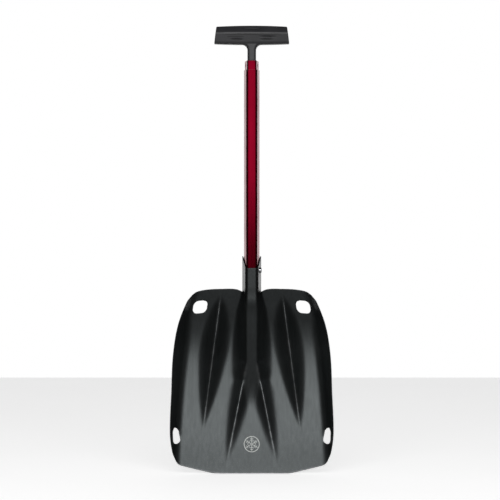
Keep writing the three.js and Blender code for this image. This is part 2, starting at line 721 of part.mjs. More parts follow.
const blackAnodised = finish(0x2a2b2d, 0.45, 0.6);
const redAnodised = finish(0x9a0a2c, 0.35, 0.8);
const gripPlastic = finish(0x2f2f34, 0.55, 0);
const nylon = finish(0x1d1d1f, 0.6, 0);
const steel = finish(0xb9bcc2, 0.25, 1);

const shovel = new THREE.Group();
const pieces = [
  ["blade", makeBlade, blackAnodised],
  ["socket_back_plate", makeBackPlate, blackAnodised],
  ["lower_shaft", makeLowerShaft, redAnodised],
  ["lower_shaft_plug", makeLowerShaftPlug, nylon],
  ["blade_lock_button", makeBladeLockButton, steel],
  ["blade_lock_spring", makeBladeLockSpring, steel],
  ["upper_shaft", makeUpperShaft, redAnodised],
  ["upper_shaft_guide", makeUpperShaftGuide, nylon],
  ["shaft_lock_button", makeShaftLockButton, steel],
  ["shaft_lock_spring", makeShaftLockSpring, steel],
  ["grip_body", makeGripBody, gripPlastic],
  ["grip_end_cap_left", () => makeGripCap(-1), gripPlastic],
  ["grip_end_cap_right", () => makeGripCap(1), gripPlastic],
  ["grip_pin", makeGripPin, steel],
];
pieces.forEach(([name, make, material]) => shovel.add(piece(name, make(), material.clone())));

// The middle of the overall depth lies on y = 0
const whole = new THREE.Box3().setFromObject(shovel);
shovel.position.y = -(whole.min.y + whole.max.y) / 2;

export default shovel;
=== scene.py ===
"""A take-apart avalanche shovel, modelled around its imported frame.

The blade is pressed from sheet and carries the socket for a telescoping shaft with a T-grip.
Lengths in the blade's formulas are in millimetres, with y = 0 on the shaft's axis and the hollow of the
blade towards -Y. Everything else is in metres, in the frame's own coordinates.
"""

import json
import math

import bmesh
import bpy
from mathutils import Matrix, Vector


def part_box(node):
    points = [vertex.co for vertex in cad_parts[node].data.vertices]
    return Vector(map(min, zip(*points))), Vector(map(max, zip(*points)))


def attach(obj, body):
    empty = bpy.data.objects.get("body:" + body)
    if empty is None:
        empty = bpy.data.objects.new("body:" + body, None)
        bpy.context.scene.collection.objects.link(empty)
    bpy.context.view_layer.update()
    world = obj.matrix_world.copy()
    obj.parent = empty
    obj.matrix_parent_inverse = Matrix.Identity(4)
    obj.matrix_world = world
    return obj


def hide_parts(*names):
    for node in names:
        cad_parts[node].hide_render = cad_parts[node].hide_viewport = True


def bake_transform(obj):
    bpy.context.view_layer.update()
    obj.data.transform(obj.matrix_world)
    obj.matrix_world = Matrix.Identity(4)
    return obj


bl_info = {
    "name": "Avalanche shovel",
    "version": (1, 0, 0),
    "blender": (4, 5, 0),
    "location": "3D View > Sidebar > Shovel",
    "description": "Builds the pieces and finishes of a take-apart avalanche shovel",
    "category": "Add Mesh",
}

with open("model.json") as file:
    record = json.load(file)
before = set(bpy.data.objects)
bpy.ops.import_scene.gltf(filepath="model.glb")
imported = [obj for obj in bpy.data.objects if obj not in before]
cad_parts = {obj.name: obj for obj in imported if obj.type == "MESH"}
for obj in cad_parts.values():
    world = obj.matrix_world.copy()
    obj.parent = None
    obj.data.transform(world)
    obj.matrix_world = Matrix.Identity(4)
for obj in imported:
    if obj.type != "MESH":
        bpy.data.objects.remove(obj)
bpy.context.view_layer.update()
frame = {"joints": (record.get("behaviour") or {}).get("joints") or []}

MM = 0.001


def middle_of(node, axis):
    low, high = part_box(node)
    return (low[axis] + high[axis]) / 2


AXIS_Y = middle_of("lower_shaft", 1)
LOWER_LOW, LOWER_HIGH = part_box("lower_shaft")
UPPER_LOW, UPPER_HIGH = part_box("upper_shaft")
PLATE_LOW, PLATE_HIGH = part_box("socket_back_plate")
BLADE_BUTTON_Z = middle_of("blade_lock_button", 2)
SHAFT_BUTTON_Z = middle_of("shaft_lock_button", 2)
PIN_Z = middle_of("grip_pin", 2)
GRIP_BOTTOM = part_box("grip_body")[0].z


# ---- sizes and colours that a user would change ---------------------------------------------------


def colour(name, text, value):
    return bpy.props.FloatVectorProperty(
        name=name, description=text, default=value, size=3, subtype="COLOR", min=0, max=1)


def length(name, text, value):
    return bpy.props.FloatProperty(
        name=name, description=text, default=value, min=0, subtype="DISTANCE", unit="LENGTH", precision=5)


def share(name, text, value):
    return bpy.props.FloatProperty(name=name, description=text, default=value, min=0, max=1, subtype="FACTOR")


def power(name, text, value):
    return bpy.props.FloatProperty(
        name=name, description=text, default=value, min=0, subtype="POWER", unit="POWER")


class BladeSettings(bpy.types.PropertyGroup):
    """Sheet and finish of the blade"""

    sheet: length("Sheet thickness", "Thickness of the pressed sheet", 0.0015)
    edge_round: length("Edge rounding", "How far the sheet's cut edges are rounded", 0.0004)
    anodised: colour("Anodised colour", "Colour of the anodised sheet", (0.074, 0.081, 0.082))
    # The worn colour also paints the highlight lines along the ridge crests.
    bare: colour("Worn colour", "Colour where the finish is rubbed thin", (0.34, 0.345, 0.35))
    roughness: share("Roughness", "Roughness of the anodised sheet", 0.44)
    # Also scales the painted highlight lines along the crests.
    wear_and_sheen: share("Wear", "How much the crests and edges are rubbed", 0.32)
    print_colour: colour("Badge colour", "Colour of the printed badge", (0.8, 0.83, 0.8))


class ShaftSettings(bpy.types.PropertyGroup):
    """Tubes of the shaft"""

    lower_wall: length("Lower wall", "Wall of the lower tube", 0.0011)
    upper_wall: length("Upper wall", "Wall of the upper tube", 0.0012)
    rim_round: length("Rim rounding", "How far the ends and holes of the tubes are rounded", 0.0003)
    anodised: colour("Anodised colour", "Colour of the anodised tubes", (0.135, 0.0014, 0.0098))
    deep: colour("Deep colour", "Colour of the darker streaks along the tubes", (0.1, 0.001, 0.007))
    roughness: share("Roughness", "Roughness of the tubes", 0.38)


class GripSettings(bpy.types.PropertyGroup):
    """Moulded T-grip"""

    voxel: length("Mesh size", "Size of the grip's mesh cells", 0.0006)
    groove: length("Groove radius", "Radius of the moulded grooves at their deepest", 0.0014)
    plastic: colour("Plastic colour", "Colour of the moulded plastic", (0.04, 0.04, 0.044))
    # The rubbed colour also paints the highlight along the bar's crest.
    rubbed: colour("Rubbed colour", "Colour where hands rub the plastic", (0.09, 0.09, 0.095))
    roughness: share("Roughness", "Roughness of the moulded texture", 0.5)


class LockSettings(bpy.types.PropertyGroup):
    """Push buttons, springs, pin and inner plastic pieces"""

    steel: colour("Button steel", "Colour of the polished buttons and the pin", (0.62, 0.63, 0.65))
    strip: colour("Spring steel", "Colour of the rolled spring strips", (0.46, 0.47, 0.5))
    nylon: colour("Nylon", "Colour of the plug and the guide inside the tubes", (0.018, 0.018, 0.02))


class StageSettings(bpy.types.PropertyGroup):
    """Floor, lights and camera"""

    floor: colour("Floor colour", "Colour of the floor", (0.93, 0.93, 0.93))
    distance: length("Camera distance", "How far the camera stands from the shaft", 4.0)
    view_width: length("View width", "Width that the camera sees at the shaft", 0.75)
    key_power: power("Key light", "Power of the large light in front and above", 70)
    fill_power: power("Fill light", "Power of the light near the camera", 0.6)


# ---- tools for modelling --------------------------------------------------------------------------


def edit_mode():
    bpy.ops.object.mode_set(mode="EDIT")


def object_mode():
    bpy.ops.object.mode_set(mode="OBJECT")


def select_everything():
    bpy.ops.mesh.select_all(action="SELECT")


def face_outward():
    """In edit mode, turns every face outwards"""
    select_everything()
    bpy.ops.mesh.normals_make_consistent(inside=False)


def apply_transform():
    bpy.ops.object.transform_apply(location=True, rotation=True, scale=True)


def clear_selection():
    """Back to object mode with nothing selected, so that the next operator meets only its own piece."""
    if bpy.context.object and bpy.context.object.mode != "OBJECT":
        object_mode()
    bpy.ops.object.select_all(action="DESELECT")


def make_active(piece):
    clear_selection()
    piece.select_set(True)
    bpy.context.view_layer.objects.active = piece


def named(name):
    """Names the primitive that was just added and opens it in edit mode with everything selected."""
    piece = bpy.context.object
    piece.name = name
    piece.data.name = name
    edit_mode()
    select_everything()
    return piece


def middle(element):
    if isinstance(element, bmesh.types.BMVert):
        return element.co.copy()
    return sum((v.co for v in element.verts), Vector()) / len(element.verts)


def pick(piece, kind, test):
    """In edit mode, selects the elements (VERT, EDGE or FACE) of the piece that pass the test."""
    bpy.ops.mesh.select_mode(type=kind)
    bpy.ops.mesh.select_all(action="DESELECT")
    shape = bmesh.from_edit_mesh(piece.data)
    elements = {"VERT": shape.verts, "EDGE": shape.edges, "FACE": shape.faces}[kind]
    for element in elements:
        if test(element):
            element.select_set(True)
    shape.select_flush_mode()
    bmesh.update_edit_mesh(piece.data)


def move_by(x, y, z):
    bpy.ops.transform.translate(value=(x, y, z))


def scale_by(x, y, z, centre):
    bpy.ops.transform.resize(value=(x, y, z), center_override=centre)


def extrude_by(x, y, z):
    bpy.ops.mesh.extrude_region_move(TRANSFORM_OT_translate={"value": (x, y, z)})


def place_vertices(piece, place):
    """Moves every vertex of the piece, in object mode, to place(its coordinates)."""
    for vertex in piece.data.vertices:
        vertex.co = place(vertex.co)


def apply_modifier(piece, name, kind, **settings):
    make_active(piece)
    modifier = piece.modifiers.new(name, kind)
    for key, value in settings.items():
        setattr(modifier, key, value)
    bpy.ops.object.modifier_apply(modifier=modifier.name)


def boolean(piece, tool, operation):
    apply_modifier(piece, "joint", "BOOLEAN", object=tool, operation=operation, solver="EXACT")
    bpy.data.objects.remove(tool)


def round_edges(piece, width, segments=2, angle=40, clamp=False):
    apply_modifier(
        piece, "edges", "BEVEL", width=width, segments=segments, limit_method="ANGLE",
        angle_limit=math.radians(angle), use_clamp_overlap=clamp)


def cylinder(name, radius, depth, centre, along, sides=48):
    """A cylinder with its axis along the given direction."""
    clear_selection()
    turn = Vector((0, 0, 1)).rotation_difference(Vector(along)).to_euler()
    bpy.ops.mesh.primitive_cylinder_add(
        vertices=sides, radius=radius, depth=depth, location=centre, rotation=turn)
    piece = bpy.context.object
    piece.name = name
    apply_transform()
    return piece


def drill(piece, radius, depth, centre, along):
    """Takes a round hole out of the piece"""
    boolean(piece, cylinder("hole", radius, depth, centre, along), "DIFFERENCE")


def finish_piece(piece, material, body, node=None, smooth=35, turn_out=True):
    """Puts the piece's place in its mesh, shades it, gives it its finish and lets it ride on its body."""
    make_active(piece)
    apply_transform()
    edit_mode()
    select_everything()
    bpy.ops.mesh.remove_doubles(threshold=2e-6)
    if turn_out:
        face_outward()
    object_mode()
    bpy.ops.object.shade_smooth_by_angle(angle=math.radians(smooth))
    piece.data.materials.clear()
    piece.data.materials.append(material)
    if body:
        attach(piece, body)
    if node:
        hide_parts(node)
    return piece


# ---- tools for finishes ---------------------------------------------------------------------------


class NodeTree:
    """A node tree: each call adds a node and returns the output that is used."""

    def __init__(self, tree):
        self.tree = tree

    def feed(self, socket, value):
        if isinstance(value, bpy.types.NodeSocket):
            self.tree.links.new(value, socket)
        elif value is not None:
            socket.default_value = value

    def node(self, kind, output=0, settings=None, **inputs):
        made = self.tree.nodes.new(kind)
        for key, value in (settings or {}).items():
            setattr(made, key, value)
        for key, value in inputs.items():
            self.feed(made.inputs[key.replace("_", " ")], value)
        return made.outputs[output]

    def math(self, operation, a, b=None):
        made = self.tree.nodes.new("ShaderNodeMath")
        made.operation = operation
        self.feed(made.inputs[0], a)
        self.feed(made.inputs[1], b)
        return made.outputs[0]

    def plus(self, a, b):
        return self.math("ADD", a, b)

    def times(self, a, b):
        return self.math("MULTIPLY", a, b)

    def window(self, value, low, high, to_low=0.0, to_high=1.0, ease="LINEAR"):
        return self.node(
            "ShaderNodeMapRange", "Result", {"interpolation_type": ease}, Value=value, From_Min=low,
            From_Max=high, To_Min=to_low, To_Max=to_high)


class Finish(NodeTree):
    """A material, with the nodes that its look is made of"""

    def __init__(self, name):
        self.material = bpy.data.materials.new(name)
        self.material.use_nodes = True
        super().__init__(self.material.node_tree)
        self.shader = self.tree.nodes["Principled BSDF"]
        self.coordinates = self.tree.nodes.new("ShaderNodeTexCoord").outputs["Object"]

    def stretched(self, scale, turn=(0, 0, 0)):
        """Object coordinates scaled differently along each axis"""
        return self.node("ShaderNodeMapping", Vector=self.coordinates, Scale=scale, Rotation=turn)

    def noise(self, scale, detail=2.0, vector=None):
        return self.node("ShaderNodeTexNoise", Vector=vector or self.coordinates, Scale=scale, Detail=detail)

    def blend(self, amount, a, b):
        made = self.tree.nodes.new("ShaderNodeMix")
        made.data_type = "RGBA"
        for index, value in ((0, amount), (6, a), (7, b)):
            self.feed(made.inputs[index], value)
        return made.outputs[2]

    def mottled(self, pattern, colour, dark, light):
        """The colour, darkened where the pattern is low and lightened where it is high"""
        return self.blend(self.window(pattern, 0.3, 0.7), rgba(colour, dark), rgba(colour, light))

    def attribute(self, name):
        return self.node("ShaderNodeAttribute", "Fac", settings={"attribute_name": name})

    def coordinate(self, axis):
        return self.node("ShaderNodeSeparateXYZ", axis, Vector=self.coordinates)

    def bump(self, strength, distance, height):
        return self.node("ShaderNodeBump", Strength=strength, Distance=distance, Height=height)

    def use(self, **inputs):
        for key, value in inputs.items():
            self.feed(self.shader.inputs[key.replace("_", " ")], value)
        return self.material


RIM_COLOUR = (0.3, 0.06, 0.08)  # bare metal seen through the red at a tube's rim
TEMPER_COLOUR = (0.42, 0.40, 0.36)
ROLLED_COLOUR = (0.22, 0.23, 0.26)
NYLON_RUBBED = (0.05, 0.05, 0.055)


def rgba(three, times=1.0):
    return (*(channel * times for channel in three), 1)


def anodised_sheet(settings):
    """Satin black sheet: blasted grain, press streaks, scratches low down, rubbed crests with painted
    highlight lines along them, darker neck
    """
    look = Finish("black_anodised_sheet")
    cloud = look.noise(14, 3)
    grain = look.noise(2600, 2)
    streak = look.noise(1, 3, look.stretched((260, 260, 14)))
    base = look.mottled(cloud, settings.anodised, 0.86, 1.1)
    base = look.blend(look.window(streak, 0.35, 0.75, 0, 0.35), base, rgba(settings.anodised, 1.5))
    across = look.math("ABSOLUTE", look.coordinate("X"))
    # The sheet is darker over the middle of the neck and the top of the rib, from about 235 mm up.
    neck_darkening = look.times(look.window(across, 0.017, 0.013), look.window(look.coordinate("Z"), 0.235, 0.27))
    base = look.blend(neck_darkening, base, rgba(settings.anodised, 0.42))
    scratch = look.noise(1, 1, look.stretched((3200, 3200, 26), (0, math.radians(7), 0)))
    scratch = look.window(scratch, 0.68, 0.74)
    low = look.window(look.coordinate("Z"), 0.09, 0.004)
    scratch = look.times(scratch, look.times(low, 0.5))
    patch = look.window(look.noise(90, 4), 0.35, 0.62)
    # Worn colour where the wear attribute is high: real wear at the edges, and painted highlight lines along
    # the crests.
    rubbed = look.times(look.times(look.attribute("wear_and_sheen"), patch), settings.wear_and_sheen)
    worn = look.math("MAXIMUM", scratch, rubbed)
    base = look.blend(worn, base, rgba(settings.bare))
    rough = look.plus(look.window(cloud, 0.2, 0.8, -0.04, 0.05), settings.roughness)
    rough = look.math("SUBTRACT", rough, look.times(worn, 0.1))
    relief = look.plus(grain, look.times(streak, 0.6))
    normal = look.bump(0.22, 0.00004, relief)
    return look.use(Base_Color=base, Roughness=rough, Metallic=0.9, Normal=normal)


def anodised_tube(name, settings, rims):
    """Satin red tube: drawn lines along it, and bare metal just at its rims"""
    look = Finish(name)
    drawn = look.noise(1, 4, look.stretched((1500, 1500, 5)))
    broad = look.noise(1, 2, look.stretched((160, 160, 4)))
    cloud = look.noise(22, 3)
    mixed = look.plus(look.times(drawn, 0.5), look.times(broad, 0.5))
    base = look.blend(look.window(mixed, 0.35, 0.65), rgba(settings.deep), rgba(settings.anodised))
    grain = look.noise(2400, 2)
    z = look.coordinate("Z")
    worn = None
    for rim, reach in rims:
        near = look.window(look.math("ABSOLUTE", look.math("SUBTRACT", z, rim)), reach, reach * 0.3)
        worn = near if worn is None else look.math("MAXIMUM", worn, near)
    worn = look.times(worn, look.window(look.noise(350, 3), 0.3, 0.6, 0.25, 0.8))
    base = look.blend(worn, base, rgba(RIM_COLOUR))
    rough = look.plus(look.window(cloud, 0.2, 0.8, -0.04, 0.05), settings.roughness)
    rough = look.plus(rough, look.window(drawn, 0.3, 0.7, -0.03, 0.04))
    relief = look.plus(drawn, look.times(grain, 0.5))
    normal = look.bump(0.18, 0.00004, relief)
    return look.use(Base_Color=base, Roughness=rough, Metallic=1.0, Normal=normal)


def moulded_plastic(name, base_colour, rubbed_and_sheen_colour, roughness, grain_scale=1700):
    """Moulded plastic with an eroded texture, rubbed smooth and lighter where attribute wear is high, which
    along the grip's crest is a painted highlight, and with painted shade inside the grooves
    """
    look = Finish(name)
    pits = look.node("ShaderNodeTexVoronoi", "Distance", Vector=look.coordinates, Scale=grain_scale * 0.8)
    grain = look.noise(grain_scale, 3)
    cloud = look.noise(30, 3)
    base = look.mottled(cloud, base_colour, 0.85, 1.18)
    speck = look.window(look.noise(5200, 1), 0.6, 0.72, 0, 0.25)
    base = look.blend(speck, base, rgba(rubbed_and_sheen_colour))
    patch = look.window(look.noise(70, 3), 0.3, 0.65, 0.25, 0.9)
    # Lighter where the wear attribute is high: rubbing, and a painted highlight along the grip's crest.
    rubbed = look.times(look.attribute("wear_and_sheen"), patch)
    base = look.blend(rubbed, base, rgba(rubbed_and_sheen_colour))
    # Painted shade: the plastic is darkened inside the grooves.
    base = look.blend(look.attribute("painted_groove_shade"), base, rgba(base_colour, 0.12))
    rough = look.plus(look.window(cloud, 0.2, 0.8, -0.05, 0.06), roughness)
    rough = look.math("SUBTRACT", rough, look.times(rubbed, 0.12))
    relief = look.plus(look.times(pits, 0.8), look.times(grain, 0.8))
    normal = look.bump(0.35, 0.00006, relief)
    return look.use(Base_Color=base, Roughness=rough, Metallic=0.0, Normal=normal, Specular_IOR_Level=0.5)


def polished_steel(name, base_colour, roughness=0.16):
    """Turned and polished steel with fine scratches"""
    look = Finish(name)
    turned = look.noise(1, 3, look.stretched((600, 3000, 3000)))
    scratch = look.window(look.noise(1, 2, look.stretched((400, 5000, 900), (0.3, 0.2, 0.5))), 0.62, 0.7)
    cloud = look.noise(260, 3)
    base = look.mottled(cloud, base_colour, 0.8, 1.08)
    base = look.blend(look.times(scratch, 0.4), base, rgba(base_colour, 0.55))
    rough = look.plus(look.window(turned, 0.3, 0.7, -0.03, 0.08), roughness)
    normal = look.bump(0.15, 0.00002, look.plus(turned, scratch))
    return look.use(Base_Color=base, Roughness=rough, Metallic=1.0, Normal=normal)


def rolled_strip(settings):
    """Spring strip: lengthwise rolling lines and a faint blue-brown temper colour"""
    look = Finish("spring_steel")
    rolled = look.noise(1, 4, look.stretched((2600, 2600, 40)))
    temper = look.noise(60, 2)
    tint = look.blend(look.window(temper, 0.35, 0.65), rgba(TEMPER_COLOUR), rgba(settings.strip))
    base = look.blend(look.window(rolled, 0.3, 0.7, 0, 0.4), tint, rgba(ROLLED_COLOUR))
    rough = look.window(rolled, 0.25, 0.75, 0.26, 0.42)
    normal = look.bump(0.2, 0.00003, rolled)
    return look.use(Base_Color=base, Roughness=rough, Metallic=1.0, Normal=normal)


def printed_ink(settings):
    """Pale screen-printed ink with pinholes and worn thin patches"""
    look = Finish("badge_ink")
    mesh_print = look.noise(3200, 2)
    worn = look.window(look.noise(420, 4), 0.56, 0.72, 0, 0.55)
    base = look.mottled(mesh_print, settings.print_colour, 0.92, 1.04)
    base = look.blend(worn, base, rgba(settings.anodised, 3))
    rough = look.window(mesh_print, 0.2, 0.8, 0.5, 0.62)
    normal = look.bump(0.2, 0.00002, mesh_print)
    return look.use(Base_Color=base, Roughness=rough, Metallic=0.0, Normal=normal)


def floor_finish(settings):
    """Pale matte floor with a faint mottling"""
    look = Finish("pale_floor")
    mottle = look.window(look.noise(3, 3), 0.2, 0.8, 0, 1)
    base = look.blend(mottle, rgba(settings.floor, 0.985), rgba(settings.floor))
    return look.use(Base_Color=base, Roughness=0.85, Emission_Color=base, Emission_Strength=0.75)


# ---- curves of the blade --------------------------------------------------------------------------

SHAFT_FRONT_HALF = 8.0
SHAFT_BACK_HALF = 12.3
SHAFT_HALF_DEPTH = 13.0
SHAFT_FRONT_RADIUS = 4.2
SHAFT_BACK_RADIUS = 3.5
CORNER_SEGMENTS = 8
UPPER_INSET = 1.3  # from the lower tube's outside to the upper tube's outside
UPPER_BORE_INSET = 2.8  # from the lower tube's outside to what fits inside the upper tube
SIDE_ANGLE = math.atan((SHAFT_BACK_HALF - SHAFT_FRONT_HALF) / (2 * SHAFT_HALF_DEPTH))
SIDE_OUT = Vector((math.cos(SIDE_ANGLE), -math.sin(SIDE_ANGLE), 0))

# Locks and pin, in metres
BLADE_BUTTON_RADIUS = 0.004
BLADE_BUTTON_HOLE = 0.0043
SHAFT_BUTTON_RADIUS = 0.0035
SHAFT_BUTTON_HOLE = 0.0038
PIN_RADIUS = 0.002
PIN_HOLE = 0.0023
SPRING_THICKNESS = 0.0008
SPRING_HALF_WIDTH = 0.004
CROWN_SHARE = 0.42  # height of a button's domed crown, as a share of its radius
WELD_BOTTOM = 0.268

PAN_PROFILE = [(0, 4), (50, 21), (100, 33), (150, 40), (190, 41.5), (225, 36), (250, 25.5), (277, 7)]
SIDE_OUTLINE = [
    (17.5, 113.5), (32, 118.9), (62, 122.4), (122, 120.4), (176, 117.9), (221, 110.7), (257, 97.3), (268, 89)]
LOWER_EDGE = [(0, 0), (50, 0.2), (62, 1.4), (104, 11), (110, 13.4), (113.5, 17.5)]
UPPER_EDGE = [(0, 272), (13, 272.2), (23, 276), (45, 277), (60, 276.2), (75, 274.3), (83, 272), (89, 268)]
BEND_LINE = [(0, 105.3), (47, 103.3), (122, 98.3), (178, 92.3), (215, 87.8), (244, 83.3), (277, 72.3)]
SIDE_WALL_SLOPE = 2
SIDE_WALL_RADIUS = 14

RIB_TOP = 256
RIB_FADE = 119
RIB_FRONT = -14.5
RIB_HALF_WIDTH = [
    (110, 3), (119, 5), (130, 7.6), (140, 8), (150, 6.8), (167, 5.4), (200, 5.2), (249, 5), (277, 4.4)]
RIB_FLANK_SLOPE = [
    (119, 1.2), (150, 1.2), (167, 1.45), (200, 2.2), (225, 2.9), (249, 3.6), (262, 5), (272, 6.05)]
RIB_CORNER = [(119, 4), (200, 4.5), (249, 5), (262, 5.9)]
RIB_FILLET = 14
RIB_FOOT = [
    (0, 52), (37, 45), (119, 30), (167, 24), (200, 23), (235, 22), (249, 21.5), (262, 17.5), (272, 14.25)]
CORNER_TO_EDGE = 1.8

CENTRE_RIDGE = ((7.2, 167), (33, 37))
CENTRE_LEAVES = 140
CENTRE_FLANK_SLOPE = [(0, 0.95), (94, 1), (150, 1.05), (167, 1.45)]
OUTER_RIDGE = ((47, 264), (71, 83))
OUTER_FLANK_SLOPE = 1.2
CREST_RADIUS = 1.6
FILLET = 8

NECK_HALF_DEPTH = 14.7
NECK_FLAT_HALF = 4.44  # half width of the neck's flat front, between its rounded corners
NECK_CORNER = 5.9
NECK_FRONT_LIP = 308.8
NECK_REAR_LIP = 326.4
SHOULDER = 8  # height over which the sheet's top edge runs into the neck

# Corner holes: centre x and z, size square to the sheet, corner radius, lean
UPPER_HOLE = {"x": 77.8, "z": 249.3, "width": 21, "height": 19.5, "radius": 7.5, "lean": 0.16, "slope": 0}
LOWER_HOLE = {"x": 114.8, "z": 55.8, "width": 15, "height": 24, "radius": 7, "lean": 0.06, "slope": 2}


def along(stations, t):
    """Value at t of the smooth curve through the stations, held level past its ends"""
    last = len(stations) - 1
    if t <= stations[0][0]:
        return stations[0][1]
    if t >= stations[last][0]:
        return stations[last][1]
    i = 0
    while t > stations[i + 1][0]:
        i += 1

    def slope_at(k):
        before, after = stations[max(k - 1, 0)], stations[min(k + 1, last)]
        return (after[1] - before[1]) / (after[0] - before[0])

    (t0, v0), (t1, v1) = stations[i], stations[i + 1]
    span = t1 - t0
    s = (t - t0) / span
    bend0, bend1 = slope_at(i) * span, slope_at(i + 1) * span
    return (v0 * (1 + 2 * s) * (1 - s) ** 2 + bend0 * s * (1 - s) ** 2
            + v1 * s * s * (3 - 2 * s) + bend1 * s * s * (s - 1))


def mix(a, b, amount):
    return a + (b - a) * amount


def on_line(a, b, t):
    return a[1] + (b[1] - a[1]) * (t - a[0]) / (b[0] - a[0])


def smooth_step(t):
    t = min(max(t, 0), 1)
    return t * t * (3 - 2 * t)


def soft_min(a, b, softness):
    near = max(softness - abs(a - b), 0) / softness
    return min(a, b) - near * near * softness / 4


def round_corner(d, slope, radius):
    """Zero up to d = 0, then a round corner that runs into a straight rise of the given slope"""
    if d <= 0:
        return 0
    turn = math.atan(slope)
    arc_end = radius * math.sin(turn)
    if d < arc_end:
        return radius - math.sqrt(radius * radius - d * d)
    return radius * (1 - math.cos(turn)) + slope * (d - arc_end)


def rib_front(z):
    slanted = on_line((RIB_TOP, RIB_FRONT), (RIB_FADE, along(PAN_PROFILE, RIB_FADE)), z)
    return -soft_min(-slanted, -RIB_FRONT, 3)


def rib_depth(x, z):
    outside = abs(x) - along(RIB_HALF_WIDTH, z)
    return rib_front(z) + round_corner(outside, along(RIB_FLANK_SLOPE, z), along(RIB_CORNER, z))


def crest_x(ridge, z):
    (top_x, top_z), (foot_x, foot_z) = ridge
    return on_line((top_z, top_x), (foot_z, foot_x), z)


def outer_crest_depth(z):
    (_, top_z), (_, foot_z) = OUTER_RIDGE
    return on_line((top_z, along(PAN_PROFILE, top_z)), (foot_z, along(PAN_PROFILE, foot_z)), z)


def centre_crest_depth(z):
    if z > CENTRE_LEAVES:
        return rib_front(z)
    foot_z = CENTRE_RIDGE[1][1]
    return on_line((CENTRE_LEAVES, rib_front(CENTRE_LEAVES)), (foot_z, along(PAN_PROFILE, foot_z)), z)


def ridge_depth(ridge, crest_depth, slope, x, z):
    away = abs(x) - crest_x(ridge, z)
    return crest_depth + slope * (math.sqrt(away * away + CREST_RADIUS ** 2) - CREST_RADIUS)


def pan_depth(x, z):
    past = abs(x) - along(BEND_LINE, z)
    return along(PAN_PROFILE, z) - round_corner(past, SIDE_WALL_SLOPE, SIDE_WALL_RADIUS)


def front_depth(x, z):
    """Depth of the blade's front face: the foremost of the pan, the rib and the ridges"""
    outer = ridge_depth(OUTER_RIDGE, outer_crest_depth(z), OUTER_FLANK_SLOPE, x, z)
    depth = soft_min(soft_min(pan_depth(x, z), outer, FILLET), rib_depth(x, z), RIB_FILLET)
    below = CENTRE_RIDGE[0][1] - z
    if below <= 0:
        return depth
    centre = ridge_depth(CENTRE_RIDGE, centre_crest_depth(z), along(CENTRE_FLANK_SLOPE, z), x, z)
    return soft_min(depth, centre, mix(0.1, FILLET, min(below / 40, 1)))


# ---- plan of the blade's mesh ---------------------------------------------------------------------

RIB_COLUMNS = 10
FLANK_COLUMNS = 18
VALLEY_COLUMNS = 16
SIDE_COLUMNS = 34
HALF_COLUMNS = RIB_COLUMNS + FLANK_COLUMNS + VALLEY_COLUMNS + SIDE_COLUMNS
BLADE_ROWS = 120
NECK_ROWS = 24


def centre_line(z):
    if z < CENTRE_RIDGE[0][1]:
        return crest_x(CENTRE_RIDGE, z)
    return along(RIB_HALF_WIDTH, z) + CORNER_TO_EDGE


def foot_line(z):
    return along(RIB_FOOT, z)


def outer_line(z):
    return crest_x(OUTER_RIDGE, z)


def near_start(s):
    return s ** 1.5


def near_end(s):
    return 1 - (1 - s) ** 1.5


def near_both(s):
    return s - 0.6 * math.sin(2 * math.pi * s) / (2 * math.pi)


def between(line_a, line_b, part, v):
    """Plan point at a part of the way between two lines up the blade, at v of its height"""
    z = v * UPPER_EDGE[0][1]
    x = 0.0
    for _ in range(4):
        x = mix(line_a(z), line_b(z), part)
        z = mix(along(LOWER_EDGE, x), along(UPPER_EDGE, x), v)
    return x, z


def side_point(v):
    z = mix(SIDE_OUTLINE[0][0], SIDE_OUTLINE[-1][0], v)
    return along(SIDE_OUTLINE, z), z


def beyond_crest(part, v):
    """Plan point between the outer crest and the side of the outline"""
    def straight(t):
        crest, side = between(outer_line, outer_line, 0, t), side_point(t)
        return mix(crest[0], side[0], part), mix(crest[1], side[1], part)

    x, z = straight(v)
    for end, edge, weight in ((0, LOWER_EDGE, 1 - v), (1, UPPER_EDGE, v)):
        edge_x, edge_z = straight(end)
        z += (along(edge, edge_x) - edge_z) * weight
    return x, z


def blade_plan(column, v):
    """Plan point of a column, counted from the middle outwards, at v of the blade's height"""
    if column <= RIB_COLUMNS:
        return between(lambda z: 0, centre_line, near_end(column / RIB_COLUMNS), v)
    column -= RIB_COLUMNS
    if column <= FLANK_COLUMNS:
        return between(centre_line, foot_line, near_start(column / FLANK_COLUMNS), v)
    column -= FLANK_COLUMNS
    if column <= VALLEY_COLUMNS:
        return between(foot_line, outer_line, near_end(column / VALLEY_COLUMNS), v)
    return beyond_crest(near_both((column - VALLEY_COLUMNS) / SIDE_COLUMNS), v)


def neck_section(column):
    """x and depth of a column where the neck has its full section: flat front, round corner, straight side"""
    turn = math.pi / 2 - SIDE_ANGLE
    arc = NECK_CORNER * turn
    side_depth = 2 * NECK_HALF_DEPTH - NECK_CORNER * (1 - math.cos(turn))
    edge = NECK_FLAT_HALF + NECK_CORNER * math.asin(CORNER_TO_EDGE / NECK_CORNER)
    whole = NECK_FLAT_HALF + arc + side_depth / math.sin(turn)
    if column <= RIB_COLUMNS:
        path = edge * near_end(column / RIB_COLUMNS)
    else:
        path = mix(edge, whole, near_start((column - RIB_COLUMNS) / FLANK_COLUMNS))
    if path <= NECK_FLAT_HALF:
        return path, -NECK_HALF_DEPTH
    angle = min((path - NECK_FLAT_HALF) / NECK_CORNER, turn)
    straight = max(path - NECK_FLAT_HALF - arc, 0)
    x = NECK_FLAT_HALF + NECK_CORNER * math.sin(angle) + straight * math.cos(turn)
    return x, -NECK_HALF_DEPTH + NECK_CORNER * (1 - math.cos(angle)) + straight * math.sin(turn)


def lip_height(depth):
    return mix(NECK_FRONT_LIP, NECK_REAR_LIP, (depth + NECK_HALF_DEPTH) / (2 * NECK_HALF_DEPTH))


